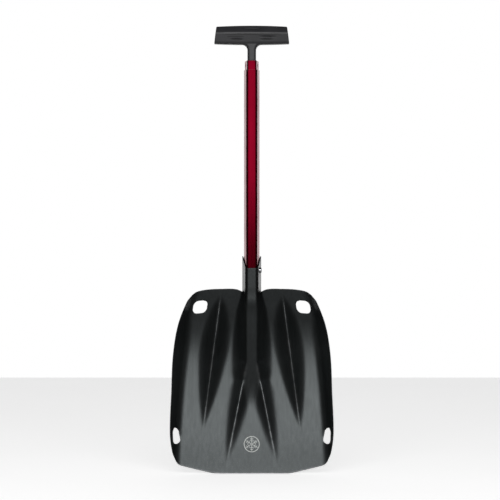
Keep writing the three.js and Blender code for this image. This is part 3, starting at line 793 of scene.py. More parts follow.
def neck_point(column, t):
    """Point of the neck, t of the way from the blade's top edge to the lip"""
    low_x, low_z = blade_plan(column, 1)
    top_x, top_depth = neck_section(column)
    z = mix(low_z, lip_height(top_depth), t)
    settled = smooth_step((z - low_z) / SHOULDER)
    x = mix(low_x, top_x, settled)
    depth = mix(front_depth(low_x, low_z), top_depth, settled)
    return x, depth, z


def hole_distance(hole, x, depth, z):
    """How far a point of the sheet lies outside a corner hole; below zero is inside"""
    centre_depth = front_depth(hole["x"], hole["z"])
    reach = math.hypot(1, hole["slope"])
    across = (abs(x) - hole["x"] - hole["slope"] * (depth - centre_depth)) / reach
    up = z - hole["z"]
    half_w, half_h, lean = hole["width"] / 2, hole["height"] / 2, hole["lean"]
    # undo the lean: across = a - lean * b and up = b - lean * (width / height) * a / 2
    k = lean * half_w / hole["height"]
    b = (up + k * across) / (1 - k * lean)
    a = across + lean * b
    dx = abs(a) - half_w + hole["radius"]
    dz = abs(b) - half_h + hole["radius"]
    return math.hypot(max(dx, 0), max(dz, 0)) + min(max(dx, dz), 0) - hole["radius"]


def onto_rim(hole, x, z):
    """The plan point moved to the hole's outline"""
    step = 0.05
    for _ in range(8):
        here = hole_distance(hole, x, front_depth(x, z), z)
        slope_x = (hole_distance(hole, x + step, front_depth(x + step, z), z) - here) / step
        slope_z = (hole_distance(hole, x, front_depth(x, z + step), z + step) - here) / step
        square = slope_x ** 2 + slope_z ** 2
        if square < 1e-6:
            break
        x -= here * slope_x / square
        z -= here * slope_z / square
    return x, z


def to_frame(x, depth, z):
    return Vector((x * MM, depth * MM + AXIS_Y, z * MM))


def sheet_grid():
    """The blade's front face with its neck, as a grid whose columns follow the crests"""
    clear_selection()
    rows = BLADE_ROWS + NECK_ROWS
    bpy.ops.mesh.primitive_grid_add(x_subdivisions=2 * HALF_COLUMNS, y_subdivisions=rows, size=2)
    piece = named("blade_sheet")
    neck_columns = RIB_COLUMNS + FLANK_COLUMNS

    def spare(face):
        centre = middle(face)
        column = abs(centre.x) * HALF_COLUMNS
        row = (centre.y + 1) / 2 * rows
        return row > BLADE_ROWS and column > neck_columns

    pick(piece, "FACE", spare)
    bpy.ops.mesh.delete(type="FACE")
    object_mode()

    def place(co):
        column = round(abs(co.x) * HALF_COLUMNS)
        row = round((co.y + 1) / 2 * rows)
        side = -1 if co.x < 0 else 1
        if row > BLADE_ROWS:
            x, depth, z = neck_point(column, (row - BLADE_ROWS) / NECK_ROWS)
        else:
            x, z = blade_plan(column, row / BLADE_ROWS)
            depth = front_depth(x, z)
        return Vector((side * x, depth, z))

    place_vertices(piece, place)
    return piece


def open_corner_holes(piece):
    """Takes out the faces inside each corner hole and draws the vertices round it onto its outline"""
    make_active(piece)
    edit_mode()
    holes = (UPPER_HOLE, LOWER_HOLE)

    def inside(face):
        return any(hole_distance(hole, *middle(face)) < 0 for hole in holes)

    pick(piece, "FACE", inside)
    bpy.ops.mesh.delete(type="FACE")
    shape = bmesh.from_edit_mesh(piece.data)
    for vertex in shape.verts:
        for hole in holes:
            if vertex.is_boundary and abs(hole_distance(hole, *vertex.co)) < 4:
                side = -1 if vertex.co.x < 0 else 1
                x, z = onto_rim(hole, abs(vertex.co.x), vertex.co.z)
                vertex.co = (side * x, front_depth(x, z), z)
    bmesh.update_edit_mesh(piece.data)
    object_mode()


def mark(piece, name, value_at):
    """Stores value_at(coordinates), from 0 to 1, as an attribute of each vertex"""
    values = [value_at(vertex.co) for vertex in piece.data.vertices]
    attribute = piece.data.attributes.new(name, "FLOAT", "POINT")
    attribute.data.foreach_set("value", values)


# Per vertex: painted highlight lines along the ridge crests, laid over light rubbing, and real wear along the
# digging edge and the sides.
def blade_wear_and_sheen(co):
    x, depth, z = abs(co.x) / MM, (co.y - AXIS_Y) / MM, co.z / MM
    wear_and_sheen = 0.0
    if z < NECK_FRONT_LIP and depth < front_depth(x, z) + 0.8:
        # Crests: painted highlight lines.
        for ridge in (CENTRE_RIDGE, OUTER_RIDGE):
            (_, top_z), (_, foot_z) = ridge
            if foot_z - 8 < z < top_z:
                away = abs(x - crest_x(ridge, z)) / 2.4
                fade = smooth_step((z - foot_z + 8) / 20) * smooth_step((top_z - z) / 12)
                wear_and_sheen = max(wear_and_sheen, math.exp(-away * away) * fade)
    # Digging edge and sides: real wear.
    if x < LOWER_EDGE[-1][0]:
        wear_and_sheen = max(wear_and_sheen, smooth_step(1 - (z - along(LOWER_EDGE, x)) / 2.2))
    if SIDE_OUTLINE[0][0] < z < SIDE_OUTLINE[-1][0]:
        wear_and_sheen = max(wear_and_sheen, 0.7 * smooth_step(1 - (along(SIDE_OUTLINE, z) - x) / 0.8))
    return wear_and_sheen


# ---- section of the shaft -------------------------------------------------------------------------


def half_width(y, inset):
    line = on_line((-SHAFT_HALF_DEPTH, SHAFT_FRONT_HALF), (SHAFT_HALF_DEPTH, SHAFT_BACK_HALF), y)
    return line - inset / math.cos(SIDE_ANGLE)


def wall_at_blade_button():
    """Middle of the shaft's right-hand side, at the blade button's height"""
    return Vector((half_width(0, 0) * MM, AXIS_Y, BLADE_BUTTON_Z))


def section_face(name, inset, height):
    """A flat face with the shaft's outline, drawn in by inset, left open in edit mode"""
    clear_selection()
    depth = SHAFT_HALF_DEPTH - inset
    front, back = half_width(-depth, inset), half_width(depth, inset)
    bpy.ops.mesh.primitive_plane_add(size=2 * MM, location=(0, AXIS_Y, height))
    piece = named(name)
    object_mode()
    apply_transform()
    edit_mode()
    centre = (0, AXIS_Y, height)
    scale_by(front, depth, 1, centre)
    pick(piece, "VERT", lambda v: v.co.y > AXIS_Y)
    scale_by(back / front, 1, 1, centre)
    half_front = math.radians(90) / 2 + SIDE_ANGLE / 2
    half_back = math.radians(90) / 2 - SIDE_ANGLE / 2
    front_radius = max(SHAFT_FRONT_RADIUS - inset, 0.6)
    back_radius = max(SHAFT_BACK_RADIUS - inset, 0.6)
    bpy.ops.mesh.bevel(
        offset=back_radius / math.tan(half_back) * MM, segments=CORNER_SEGMENTS, affect="VERTICES")
    pick(piece, "VERT", lambda v: v.co.y < AXIS_Y - (depth - 0.01) * MM)
    bpy.ops.mesh.bevel(
        offset=front_radius / math.tan(half_front) * MM, segments=CORNER_SEGMENTS, affect="VERTICES")
    bpy.ops.mesh.select_mode(type="FACE")
    select_everything()
    return piece


def tube(name, inset, wall, bottom, top):
    """A tube of the shaft's section, open at both ends"""
    piece = section_face(name, inset, bottom)
    extrude_by(0, 0, top - bottom)
    pick(piece, "FACE", lambda f: abs(f.normal.z) > 0.9)
    bpy.ops.mesh.delete(type="ONLY_FACE")
    face_outward()
    object_mode()
    apply_modifier(piece, "wall", "SOLIDIFY", thickness=wall, offset=-1, use_even_offset=True)
    return piece


# ---- pieces ---------------------------------------------------------------------------------------


class SHOVEL_OT_stage(bpy.types.Operator):
    """Adds the camera, the lights and the floor"""

    bl_idname = "shovel.stage"
    bl_label = "Camera, lights and floor"

    def execute(self, context):
        settings = context.scene.shovel_stage
        self.add_camera(settings)
        self.add_light("key_light", (0, -3, 1.42), (0, 0, 1.37), (2.6, 2.5), settings.key_power)
        self.add_light("fill_light", (0.4, -3.4, 0.62), (0, 0, 0.5), (0.9, 0.6), settings.fill_power)
        self.light_world()
        clear_selection()
        bpy.ops.mesh.primitive_plane_add(size=6, location=(0, 0, 0))
        floor = named("floor")
        bpy.ops.mesh.subdivide(number_cuts=3)
        object_mode()
        floor.data.materials.append(floor_finish(settings))
        floor.visible_glossy = floor.visible_diffuse = False
        return {"FINISHED"}

    @staticmethod
    def add_camera(settings):
        aim = Vector((-0.0026, 0, 0.3356))
        bpy.ops.object.camera_add(
            location=(aim.x, AXIS_Y - settings.distance, aim.z), rotation=(math.radians(90), 0, 0))
        camera = bpy.context.object
        camera.name = "camera"
        camera.data.sensor_width = 36
        camera.data.lens = 36 * settings.distance / settings.view_width
        camera.data.clip_end = 50
        bpy.context.scene.camera = camera

    @staticmethod
    def add_light(name, place, aim, size, power):
        bpy.ops.object.light_add(type="AREA", location=place)
        light = bpy.context.object
        light.name = name
        light.rotation_euler = (Vector(aim) - Vector(place)).to_track_quat("-Z", "Y").to_euler()
        light.data.shape = "RECTANGLE"
        light.data.size, light.data.size_y = size
        light.data.energy = power

    @staticmethod
    def light_world():
        """White to the eye; the light it gives is bright behind the object, soft below and dim elsewhere"""
        world = bpy.data.worlds.new("studio")
        bpy.context.scene.world = world
        bpy.context.scene.view_settings.view_transform = "Standard"
        world.use_nodes = True
        world.node_tree.nodes.clear()
        look = NodeTree(world.node_tree)
        direction = look.node("ShaderNodeTexCoord", "Generated")
        away = look.node("ShaderNodeSeparateXYZ", "Y", Vector=direction)
        up = look.node("ShaderNodeSeparateXYZ", "Z", Vector=direction)
        behind = look.window(away, 0.35, 0.9, 0.02, 2.4, "SMOOTHSTEP")
        level = look.window(look.math("ABSOLUTE", up), 0.2, 0.38, 1, 0.03)
        below = look.window(up, -0.35, -0.9, 0, 0.4)
        given = look.node("ShaderNodeBackground", Strength=look.plus(look.times(behind, level), below))
        seen = look.node("ShaderNodeBackground", Color=(1, 1, 1, 1))
        choose = look.tree.nodes.new("ShaderNodeMixShader")
        camera_ray = look.node("ShaderNodeLightPath", "Is Camera Ray")
        for socket, value in zip(choose.inputs, (camera_ray, given, seen)):
            look.feed(socket, value)
        output = look.tree.nodes.new("ShaderNodeOutputWorld")
        look.feed(output.inputs["Surface"], choose.outputs[0])


class SHOVEL_OT_blade(bpy.types.Operator):
    """Presses the blade with its ridges, corner holes and neck"""

    bl_idname = "shovel.blade"
    bl_label = "Blade"

    def execute(self, context):
        settings = context.scene.shovel_blade
        piece = sheet_grid()
        open_corner_holes(piece)
        place_vertices(piece, lambda co: to_frame(*co))
        make_active(piece)
        edit_mode()
        face_outward()
        self.face_forward(piece)
        object_mode()
        apply_modifier(piece, "sheet", "SOLIDIFY", thickness=settings.sheet, offset=-1, use_even_offset=True,
                       thickness_clamp=1.5)
        round_edges(piece, settings.edge_round, 2, 60)
        drill(piece, BLADE_BUTTON_HOLE, 0.012, wall_at_blade_button() + SIDE_OUT * 0.003, SIDE_OUT)
        look = anodised_sheet(settings)
        finish_piece(piece, look, "blade_assembly", "blade", 50, False)
        mark(piece, "wear_and_sheen", blade_wear_and_sheen)
        return {"FINISHED"}

    @staticmethod
    def face_forward(piece):
        """Turns the sheet's faces over if they look backwards"""
        shape = bmesh.from_edit_mesh(piece.data)
        if sum(face.normal.y for face in shape.faces) > 0:
            bpy.ops.mesh.flip_normals()


class SHOVEL_OT_back_plate(bpy.types.Operator):
    """Closes the back of the neck with a welded plate"""

    bl_idname = "shovel.back_plate"
    bl_label = "Socket back plate"

    def execute(self, context):
        settings = context.scene.shovel_blade
        low, high = PLATE_LOW, PLATE_HIGH
        clear_selection()
        centre = (low + high) / 2
        bpy.ops.mesh.primitive_cube_add(size=1, location=centre, scale=high - low)
        piece = named("socket_back_plate_sheet")
        object_mode()
        apply_transform()
        edit_mode()
        rise = (NECK_REAR_LIP - NECK_FRONT_LIP) / (2 * NECK_HALF_DEPTH)
        pick(piece, "VERT", lambda v: v.co.z > centre.z and v.co.y < centre.y)
        move_by(0, 0, -rise * (high.y - low.y))
        pick(piece, "EDGE", lambda e: abs((e.verts[0].co - e.verts[1].co).normalized().y) > 0.9
             and middle(e).z < centre.z)
        bpy.ops.mesh.bevel(offset=0.006, segments=8, affect="EDGES")
        pick(piece, "EDGE", lambda e: abs((e.verts[0].co - e.verts[1].co).normalized().y) > 0.5
             and middle(e).z > centre.z)
        bpy.ops.mesh.bevel(offset=0.002, segments=5, affect="EDGES")
        object_mode()
        round_edges(piece, settings.edge_round, 2, 60)
        material = bpy.data.materials["black_anodised_sheet"]
        finish_piece(piece, material, "blade_assembly", "socket_back_plate")
        mark(piece, "wear_and_sheen", lambda co: 0.5 * smooth_step(1 - (co.z - low.z) / 0.003))
        for side, label in ((-1, "left"), (1, "right")):
            self.weld(side, label, material)
        return {"FINISHED"}

    @staticmethod
    def weld(side, label, material):
        """A ripple of weld along one edge of the plate"""
        high = PLATE_HIGH
        bottom, top = WELD_BOTTOM, high.z - 0.006
        x = side * (high.x + 0.0006)
        y = high.y - 0.0004
        ripples = 26
        centre = (x, y, (bottom + top) / 2)
        piece = cylinder("socket_weld_" + label, 0.0012, top - bottom, centre, (0, 0, 1), 12)
        edit_mode()
        pick(piece, "EDGE", lambda e: abs(e.verts[0].co.z - e.verts[1].co.z) > 0.01)
        bpy.ops.mesh.subdivide(number_cuts=ripples * 4 - 1)
        object_mode()

        def ripple(co):
            t = (co.z - bottom) / (top - bottom)
            phase = (t * ripples + (co.y - y) / 0.004) % 1
            radius = 0.82 + 0.26 * math.sqrt(max(0, 1 - (2 * phase - 1) ** 2))
            ends = math.sqrt(max(0.02, 1 - abs(2 * t - 1) ** 14))
            k = radius * ends
            return Vector((x + (co.x - x) * k * 1.2, y + (co.y - y) * k * 0.8, co.z))

        place_vertices(piece, ripple)
        finish_piece(piece, material, "blade_assembly", None, 60)
        mark(piece, "wear_and_sheen", lambda co: 0.35)


class SHOVEL_OT_badge(bpy.types.Operator):
    """Prints a plain round snowflake badge near the digging edge"""

    bl_idname = "shovel.badge"
    bl_label = "Printed badge"

    def execute(self, context):
        settings = context.scene.shovel_blade
        centre = (0, 43 * MM)
        radius = 12 * MM
        parts = [self.ring(radius, 0.0013)]
        for k in range(6):
            parts.append(self.bar(k * 60, 0.0006, radius * 0.8, 0.0009))
            for out, reach in ((0.36, 0.26), (0.58, 0.2)):
                for turn in (-1, 1):
                    parts.append(self.bar(k * 60, radius * out, radius * reach, 0.0008, turn * 60))
        clear_selection()
        for part in parts:
            part.select_set(True)
        bpy.context.view_layer.objects.active = parts[0]
        bpy.ops.object.join()
        piece = bpy.context.object
        piece.name = piece.data.name = "blade_badge"

        def lay(co):
            x, z = centre[0] + co.x, centre[1] + co.y
            return to_frame(x / MM, front_depth(x / MM, z / MM) - 0.06, z / MM)

        place_vertices(piece, lay)
        make_active(piece)
        edit_mode()
        select_everything()
        shape = bmesh.from_edit_mesh(piece.data)
        for face in shape.faces:
            if face.normal.y > 0:
                face.normal_flip()
        bmesh.update_edit_mesh(piece.data)
        object_mode()
        apply_modifier(piece, "ink", "SOLIDIFY", thickness=0.00012, offset=-1)
        finish_piece(piece, printed_ink(settings), "blade_assembly", None, 30, False)
        return {"FINISHED"}

    @staticmethod
    def ring(radius, width):
        clear_selection()
        bpy.ops.mesh.primitive_circle_add(vertices=96, radius=radius, fill_type="NGON")
        piece = named("badge_ring")
        bpy.ops.mesh.inset(thickness=width)
        bpy.ops.mesh.delete(type="FACE")
        object_mode()
        return piece

    @staticmethod
    def bar(angle, start, reach, width, branch=0):
        """A bar that starts at a distance from the centre on an arm, and may branch off it"""
        clear_selection()
        bpy.ops.mesh.primitive_plane_add(size=1)
        piece = named("badge_arm")
        bpy.ops.mesh.subdivide(number_cuts=3)
        object_mode()
        local = Matrix.Translation((0, start, 0)) @ Matrix.Rotation(math.radians(branch), 4, "Z")
        whole = Matrix.Rotation(math.radians(angle), 4, "Z") @ local
        place_vertices(piece, lambda co: whole @ Vector((co.x * width, (co.y + 0.5) * reach, 0)))
        return piece


class SHOVEL_OT_tubes(bpy.types.Operator):
    """Draws the two telescoping tubes with their button holes"""

    bl_idname = "shovel.tubes"
    bl_label = "Shaft tubes"

    def execute(self, context):
        settings = context.scene.shovel_shaft
        travel = next(j for j in frame["joints"] if j["name"] == "shaft_extension")["range_m"][1]
        lower = tube("lower_shaft_tube", 0, settings.lower_wall, LOWER_LOW.z, LOWER_HIGH.z)
        drill(lower, BLADE_BUTTON_HOLE, 0.008, wall_at_blade_button(), SIDE_OUT)
        for height in (SHAFT_BUTTON_Z, SHAFT_BUTTON_Z + travel):
            drill(lower, SHAFT_BUTTON_HOLE, 0.008, (0, LOWER_HIGH.y, height), (0, 1, 0))
        round_edges(lower, settings.rim_round, 2, 50)
        look = anodised_tube("red_anodised_lower", settings, [(LOWER_HIGH.z, 0.0005)])
        finish_piece(lower, look, "lower_shaft_assembly", "lower_shaft")

        upper = tube("upper_shaft_tube", UPPER_INSET, settings.upper_wall, UPPER_LOW.z, UPPER_HIGH.z)
        drill(upper, SHAFT_BUTTON_HOLE, 0.012, (0, UPPER_HIGH.y, SHAFT_BUTTON_Z), (0, 1, 0))
        drill(upper, PIN_HOLE, 0.04, (0, AXIS_Y, PIN_Z), (1, 0, 0))
        round_edges(upper, settings.rim_round, 2, 50)
        look = anodised_tube("red_anodised_upper", settings, [(UPPER_HIGH.z, 0.0005)])
        finish_piece(upper, look, "upper_shaft_assembly", "upper_shaft")
        return {"FINISHED"}


class SHOVEL_OT_inner_plastics(bpy.types.Operator):
    """Moulds the plug of the lower tube and the guide of the upper tube"""

    bl_idname = "shovel.inner_plastics"
    bl_label = "Plug and guide"

    def execute(self, context):
        settings = context.scene.shovel_lock
        look = moulded_plastic("black_nylon", settings.nylon, NYLON_RUBBED, 0.5, 2200)
        low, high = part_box("lower_shaft_plug")
        self.plug("lower_shaft_plug_moulding", 0, 1.4, low.z, low.z + 0.002, high.z, look,
                  "lower_shaft_assembly", "lower_shaft_plug")
        low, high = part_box("upper_shaft_guide")
        self.plug("upper_shaft_guide_moulding", 1.2, UPPER_BORE_INSET, low.z, low.z + 0.006, high.z, look,
                  "upper_shaft_assembly", "upper_shaft_guide")
        return {"FINISHED"}

    @staticmethod
    def plug(name, flange_inset, spigot_inset, bottom, flange_top, top, look, body, node):
        """A flange below the tube's end and a hollow spigot up inside it, with lead-in at its top"""
        piece = section_face(name, flange_inset, bottom)
        extrude_by(0, 0, flange_top - bottom)
        bpy.ops.mesh.inset(thickness=(spigot_inset - flange_inset) * MM, use_even_offset=True)
        extrude_by(0, 0, top - flange_top - 0.001)
        extrude_by(0, 0, 0.001)
        scale_by(0.95, 0.965, 1, (0, AXIS_Y, top))
        bpy.ops.mesh.inset(thickness=0.0011, use_even_offset=True)
        extrude_by(0, 0, bottom + 0.0009 - top)
        object_mode()
        round_edges(piece, 0.00025, 2, 50)
        finish_piece(piece, look, body, node)


class SHOVEL_OT_grip(bpy.types.Operator):
    """Moulds the T-grip with its grooves and end caps"""

    bl_idname = "shovel.grip"
    bl_label = "T-grip"

    BOTTOM, TOP = 643.4, 671.8
    BOTTOM_HALF, TOP_HALF = 56.2, 53.0
    BOW_BOTTOM, BOW_TOP = 1.2, 1.5
    # corners of the bar's section as y, z and rounding
    CORNERS = [
        (-5, 671.8, 5), (-15.4, 661, 3.2), (-11.8, 643.4, 5), (11.8, 643.4, 5),
        (15, 657, 8), (6, 671.8, 6)]
    # grooves on the front as height, start and end along the bar, and depth share
    GROOVES = [
        (667.2, -15, 15, 0.7), (658.4, -44, 44, 1.15), (654.7, 11, 37, 0.95), (654.7, -37, -11, 0.95),
        (650.6, 12, 33, 0.9), (650.6, -33, -12, 0.9)]
    NECK_HALF_WIDTH, NECK_HALF_DEPTH, NECK_CORNER = 6.45, 11.0, 4.0
    FLARE_START, FLARE_RADIUS = 634.8, 8.8

    def execute(self, context):
        settings = context.scene.shovel_grip
        body = self.bar("grip_moulding", 0, -self.BOTTOM_HALF, self.BOTTOM_HALF)
        for side in (-1, 1):
            ends = sorted((side * (self.BOTTOM_HALF - 8), side * (self.BOTTOM_HALF + 4)))
            boolean(body, self.bar("pocket", 2.6, *ends), "DIFFERENCE")
        self.carve(body, settings)
        boolean(body, self.neck(), "UNION")
        apply_modifier(body, "cells", "REMESH", mode="VOXEL", voxel_size=settings.voxel, adaptivity=0)
        apply_modifier(body, "soften", "SMOOTH", factor=0.5, iterations=3)
        place_vertices(body, self.bow)
        look = moulded_plastic("charcoal_plastic", settings.plastic, settings.rubbed, settings.roughness)
        finish_piece(body, look, "upper_shaft_assembly", "grip_body", 60)
        mark(body, "wear_and_sheen", self.wear_and_sheen)
        # Stores the painted shade inside the grooves.
        mark(body, "painted_groove_shade", self.painted_groove_shade)
        for side, label in ((-1, "left"), (1, "right")):
            self.cap(side, label, look)
        return {"FINISHED"}

    def bar(self, name, wall, start, end):
        """The bar's section, drawn in by wall, run along x"""
        clear_selection()
        middle_z = (self.TOP + self.BOTTOM) / 2
        shrink = 1 - wall / ((self.TOP - self.BOTTOM) / 2)
        corners = [(y * shrink, middle_z + (z - middle_z) * shrink, r * shrink) for y, z, r in self.CORNERS]
        bpy.ops.mesh.primitive_circle_add(vertices=len(corners), radius=0.01, fill_type="NGON")
        piece = named(name)
        object_mode()
        for vertex, (y, z, _) in zip(piece.data.vertices, corners):
            vertex.co = to_frame(start, y, z)
        edit_mode()
        for i, (y, z, radius) in enumerate(corners):
            here = to_frame(start, y, z)
            before = to_frame(start, *corners[i - 1][:2])
            after = to_frame(start, *corners[(i + 1) % len(corners)][:2])
            angle = (before - here).angle(after - here) / 2
            pick(piece, "VERT", lambda v: (v.co - here).length < 1e-6)
            bpy.ops.mesh.bevel(offset=radius * MM / math.tan(angle), segments=7, affect="VERTICES")
        bpy.ops.mesh.select_mode(type="FACE")
        select_everything()
        extrude_by((end - start) * MM, 0, 0)
        face_outward()
        object_mode()
        return piece

    def depth_at(self, z, back):
        """Depth of the bar's front or back face at a height"""
        corners = self.CORNERS[3:6] if back else self.CORNERS[2::-1]
        foot, crest, top = ((height, depth) for depth, height, _ in corners)
        return on_line(foot, crest, z) if z < crest[0] else on_line(crest, top, z)

    def carve(self, body, settings):
        """Cuts the tapered grooves into the front and the back of the bar"""
        for back in (False, True):
            for z, start, end, deep in self.GROOVES:
                clear_selection()
                bpy.ops.mesh.primitive_uv_sphere_add(segments=24, ring_count=16, radius=1)
                tool = bpy.context.object
                half = (end - start) / 2 * MM
                centre = to_frame((start + end) / 2, self.depth_at(z, back), z)
                place_vertices(tool, lambda co: centre + Vector((
                    co.z * half, co.x * settings.groove * deep, co.y * settings.groove * deep)))
                boolean(body, tool, "DIFFERENCE")

    def neck(self):
        """Spigot inside the upper tube, with the neck that flares from it into the bar"""
        spigot = section_face("spigot", UPPER_BORE_INSET, GRIP_BOTTOM)
        foot = UPPER_HIGH.z + 0.0003
        extrude_by(0, 0, foot + 0.0004 - GRIP_BOTTOM)
        face_outward()
        object_mode()
        clear_selection()
        bpy.ops.mesh.primitive_plane_add(size=2, location=(0, AXIS_Y, foot))
        piece = named("neck")
        scale_by(self.NECK_HALF_WIDTH * MM, self.NECK_HALF_DEPTH * MM, 1, (0, AXIS_Y, foot))
        bpy.ops.mesh.bevel(offset=self.NECK_CORNER * MM, segments=8, affect="VERTICES")
        bpy.ops.mesh.select_mode(type="FACE")
        select_everything()
        extrude_by(0, 0, self.FLARE_START * MM - foot)
        before, height = 1.0, 0.0
        steps = 9
        for k in range(1, steps + 1):
            angle = k * math.pi / 2 / steps
            rise = self.FLARE_RADIUS * math.sin(angle)
            now = 1 + self.FLARE_RADIUS * (1 - math.cos(angle)) / self.NECK_HALF_WIDTH
            extrude_by(0, 0, (rise - height) * MM)
            scale_by(now / before, 1, 1, (0, AXIS_Y, 0))
            before, height = now, rise
        extrude_by(0, 0, 0.004)
        face_outward()
        object_mode()
        boolean(piece, spigot, "UNION")
        return piece

    def bow(self, co):
        """Bows the bar down at its top and up at its bottom towards the ends, and slants the ends"""
        z = co.z / MM
        part = min(max((z - self.BOTTOM) / (self.TOP - self.BOTTOM), 0), 1)
        out = (co.x / (self.BOTTOM_HALF * MM)) ** 2
        inside_bar = smooth_step((z - self.BOTTOM + 12) / 6)
        slant = mix(self.BOTTOM_HALF, self.TOP_HALF, part) / self.BOTTOM_HALF
        lift = mix(self.BOW_BOTTOM, -self.BOW_TOP, part) * out * inside_bar
        return Vector((co.x * slant, co.y, co.z + lift * MM))

    # Front: a painted highlight along the crest, also made smoother; back: rubbed on top.
    def wear_and_sheen(self, co):
        crest = self.CORNERS[1][1] - 0.5
        if co.y > AXIS_Y - 0.005:
            return 0.3 * smooth_step((co.z / MM - 664) / 6)
        return 0.9 * math.exp(-((co.z / MM - crest) / 1.6) ** 2)

    def painted_groove_shade(self, co):
        """Painted shade inside the grooves"""
        groove_shade_amount = 0.0
        if abs(co.y - AXIS_Y) < 0.004:
            return groove_shade_amount
        x, z = co.x / MM, co.z / MM
        for height, start, end, deep in self.GROOVES:
            reach = abs(2 * (x - start) / (end - start) - 1)
            if reach < 1:
                width = 0.95 * deep * math.sqrt(1 - reach * reach)
                groove_shade_amount = max(groove_shade_amount, math.exp(-((z - height) / max(width, 0.2)) ** 2))
        return 0.9 * groove_shade_amount

    def cap(self, side, label, look):
        """A dished plug in one end of the bar"""
        inner, outer = self.BOTTOM_HALF - 7.4, self.BOTTOM_HALF - 0.4
        piece = self.bar("grip_cap_" + label, 2.9, side * inner, side * outer)
        make_active(piece)
        edit_mode()
        face_x = side * outer * MM
        pick(piece, "FACE", lambda f: abs(middle(f).x - face_x) < 1e-6)
        centre = (0, AXIS_Y, (self.TOP + self.BOTTOM) / 2 * MM)
        for size, depth in ((0.9, 0), (0.93, -0.0007), (0.8, -0.0003), (0.6, 0.0002)):
            extrude_by(side * depth, 0, 0)
            scale_by(1, size, size, centre)
        object_mode()
        round_edges(piece, 0.00035, 3, 40, True)
        place_vertices(piece, self.bow)
        node = "grip_end_cap_" + label
        finish_piece(piece, look, "upper_shaft_assembly", node, 40)
        mark(piece, "wear_and_sheen", lambda co: 0.3)


class SHOVEL_OT_grip_pin(bpy.types.Operator):
    """Drives the cross pin that holds the grip in the upper tube"""

    bl_idname = "shovel.grip_pin"
    bl_label = "Grip pin"

    def execute(self, context):
        settings = context.scene.shovel_lock
        low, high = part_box("grip_pin")
        piece = cylinder("grip_cross_pin", PIN_RADIUS, high.x - low.x, (0, AXIS_Y, PIN_Z), (1, 0, 0), 40)
        edit_mode()
        for side in (-1, 1):
            pick(piece, "FACE", lambda f: f.normal.x * side > 0.9)
            bpy.ops.mesh.inset(thickness=0.0005)
            move_by(side * -0.00012, 0, 0)
            bpy.ops.mesh.inset(thickness=0.0006)
            move_by(side * -0.00006, 0, 0)
        object_mode()
        round_edges(piece, 0.00018, 2, 35)
        look = polished_steel("pin_steel", settings.steel, 0.24)
        finish_piece(piece, look, "upper_shaft_assembly", "grip_pin")
        return {"FINISHED"}


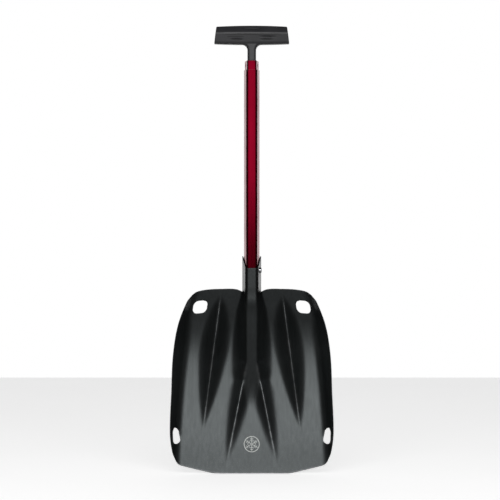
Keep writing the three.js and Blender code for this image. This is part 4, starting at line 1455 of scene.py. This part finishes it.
class SHOVEL_OT_locks(bpy.types.Operator):
    """Turns the push buttons and bends their spring strips"""

    bl_idname = "shovel.locks"
    bl_label = "Push buttons and springs"

    def execute(self, context):
        settings = context.scene.shovel_lock
        steel = polished_steel("polished_steel", settings.steel)
        strip = rolled_strip(settings)
        foot = wall_at_blade_button() - SIDE_OUT * 0.0015
        self.button("blade_button", foot, SIDE_OUT, BLADE_BUTTON_RADIUS, 0.007, steel, "blade_lock",
                    "blade_lock_button")
        low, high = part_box("shaft_lock_button")
        self.button("shaft_button", Vector((0, low.y, SHAFT_BUTTON_Z)), Vector((0, 1, 0)),
                    SHAFT_BUTTON_RADIUS, high.y - low.y, steel, "shaft_lock", "shaft_lock_button")
        spring = self.strip("blade_button_spring", "blade_lock_spring", False)
        finish_piece(spring, strip, None, "blade_lock_spring")
        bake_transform(spring)
        spring = self.strip("shaft_button_spring", "shaft_lock_spring", True)
        finish_piece(spring, strip, None, "shaft_lock_spring")
        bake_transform(spring)
        return {"FINISHED"}

    @staticmethod
    def button(name, foot, direction, radius, depth, look, body, node):
        """A turned button: straight sides, a soft shoulder and a domed crown"""
        straight = depth - radius * CROWN_SHARE
        piece = cylinder(name, radius, straight, foot + direction * straight / 2, direction, 48)
        edit_mode()
        tip = foot + direction * straight
        pick(piece, "FACE", lambda f: (middle(f) - tip).length < radius * 0.1)
        steps = 8
        last_size, last_rise = 1.0, 0.0
        for k in range(1, steps):
            angle = k * math.pi / 2 / steps
            size, rise = math.cos(angle), radius * CROWN_SHARE * math.sin(angle)
            extrude_by(*(direction * (rise - last_rise)))
            centre = foot + direction * (straight + rise)
            scale_by(size / last_size, size / last_size, size / last_size, centre)
            last_size, last_rise = size, rise
        bpy.ops.mesh.poke()
        object_mode()
        finish_piece(piece, look, body, node, 50)

    @staticmethod
    def strip(name, node, turned):
        """A strip bent into a U: a straight leg, spun round the bend, and its other leg"""
        low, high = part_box(node)
        axis = 1 if turned else 0
        outer = (high[axis] - low[axis]) / 2
        centre_across = (high[axis] + low[axis]) / 2
        bend_z = high.z - outer if turned else low.z + outer
        leg_end = low.z if turned else high.z
        across = Vector((0, 1, 0)) if turned else Vector((1, 0, 0))
        other = Vector((1, 0, 0)) if turned else Vector((0, 1, 0))
        other_centre = (high[1 - axis] + low[1 - axis]) / 2
        clear_selection()
        bpy.ops.mesh.primitive_plane_add(size=2)
        piece = bpy.context.object
        piece.name = piece.data.name = name

        def first_leg(co):
            z = bend_z if co.y > 0 else leg_end
            place = across * (centre_across - outer + SPRING_THICKNESS / 2)
            place += other * (other_centre + co.x * SPRING_HALF_WIDTH)
            return Vector((place.x, place.y, z))

        place_vertices(piece, first_leg)
        edit_mode()
        pick(piece, "EDGE", lambda e: all(abs(v.co.z - bend_z) < 1e-6 for v in e.verts))
        pivot = across * centre_across + other * other_centre + Vector((0, 0, bend_z))
        towards = Matrix.Rotation(math.pi / 2, 3, other) @ (-across)
        outward = 1 if turned else -1
        turn = -math.pi if towards.z * outward < 0 else math.pi
        bpy.ops.mesh.spin(steps=14, angle=turn, center=pivot, axis=other)
        extrude_by(0, 0, leg_end - bend_z)
        select_everything()
        bpy.ops.mesh.remove_doubles(threshold=1e-6)
        bpy.ops.mesh.normals_make_consistent(inside=False)
        object_mode()
        apply_modifier(piece, "strip", "SOLIDIFY", thickness=SPRING_THICKNESS, offset=0)
        round_edges(piece, 0.00018, 2, 60)
        return piece


class SHOVEL_PT_sidebar(bpy.types.Panel):
    """Lists the shovel's pieces and their settings"""

    bl_idname = "SHOVEL_PT_sidebar"
    bl_label = "Avalanche shovel"
    bl_space_type = "VIEW_3D"
    bl_region_type = "UI"
    bl_category = "Shovel"

    def draw(self, context):
        layout = self.layout
        for name, group, operators in SECTIONS:
            box = layout.box()
            box.label(text=name)
            settings = getattr(context.scene, group)
            for key in settings.__annotations__:
                box.prop(settings, key)
            for operator in operators:
                box.operator(operator.bl_idname)


GROUPS = {
    "shovel_stage": StageSettings,
    "shovel_blade": BladeSettings,
    "shovel_shaft": ShaftSettings,
    "shovel_grip": GripSettings,
    "shovel_lock": LockSettings,
}
SECTIONS = [
    ("Stage", "shovel_stage", [SHOVEL_OT_stage]),
    ("Blade", "shovel_blade", [SHOVEL_OT_blade, SHOVEL_OT_back_plate, SHOVEL_OT_badge]),
    ("Shaft", "shovel_shaft", [SHOVEL_OT_tubes]),
    ("Grip", "shovel_grip", [SHOVEL_OT_grip]),
    ("Locks and inner pieces", "shovel_lock",
     [SHOVEL_OT_grip_pin, SHOVEL_OT_locks, SHOVEL_OT_inner_plastics]),
]
OPERATORS = [operator for _, _, operators in SECTIONS for operator in operators]


def register():
    for group in GROUPS.values():
        bpy.utils.register_class(group)
    for operator in OPERATORS:
        bpy.utils.register_class(operator)
    bpy.utils.register_class(SHOVEL_PT_sidebar)
    for name, group in GROUPS.items():
        setattr(bpy.types.Scene, name, bpy.props.PointerProperty(type=group))


def unregister():
    for name in GROUPS:
        delattr(bpy.types.Scene, name)
    bpy.utils.unregister_class(SHOVEL_PT_sidebar)
    for operator in reversed(OPERATORS):
        bpy.utils.unregister_class(operator)
    for group in reversed(list(GROUPS.values())):
        bpy.utils.unregister_class(group)


def main():
    register()
    bpy.ops.shovel.stage()
    bpy.ops.shovel.blade()
    bpy.ops.shovel.back_plate()
    bpy.ops.shovel.badge()
    bpy.ops.shovel.tubes()
    bpy.ops.shovel.inner_plastics()
    bpy.ops.shovel.grip()
    bpy.ops.shovel.grip_pin()
    bpy.ops.shovel.locks()
    clear_selection()


if __name__ == "__main__":
    main()
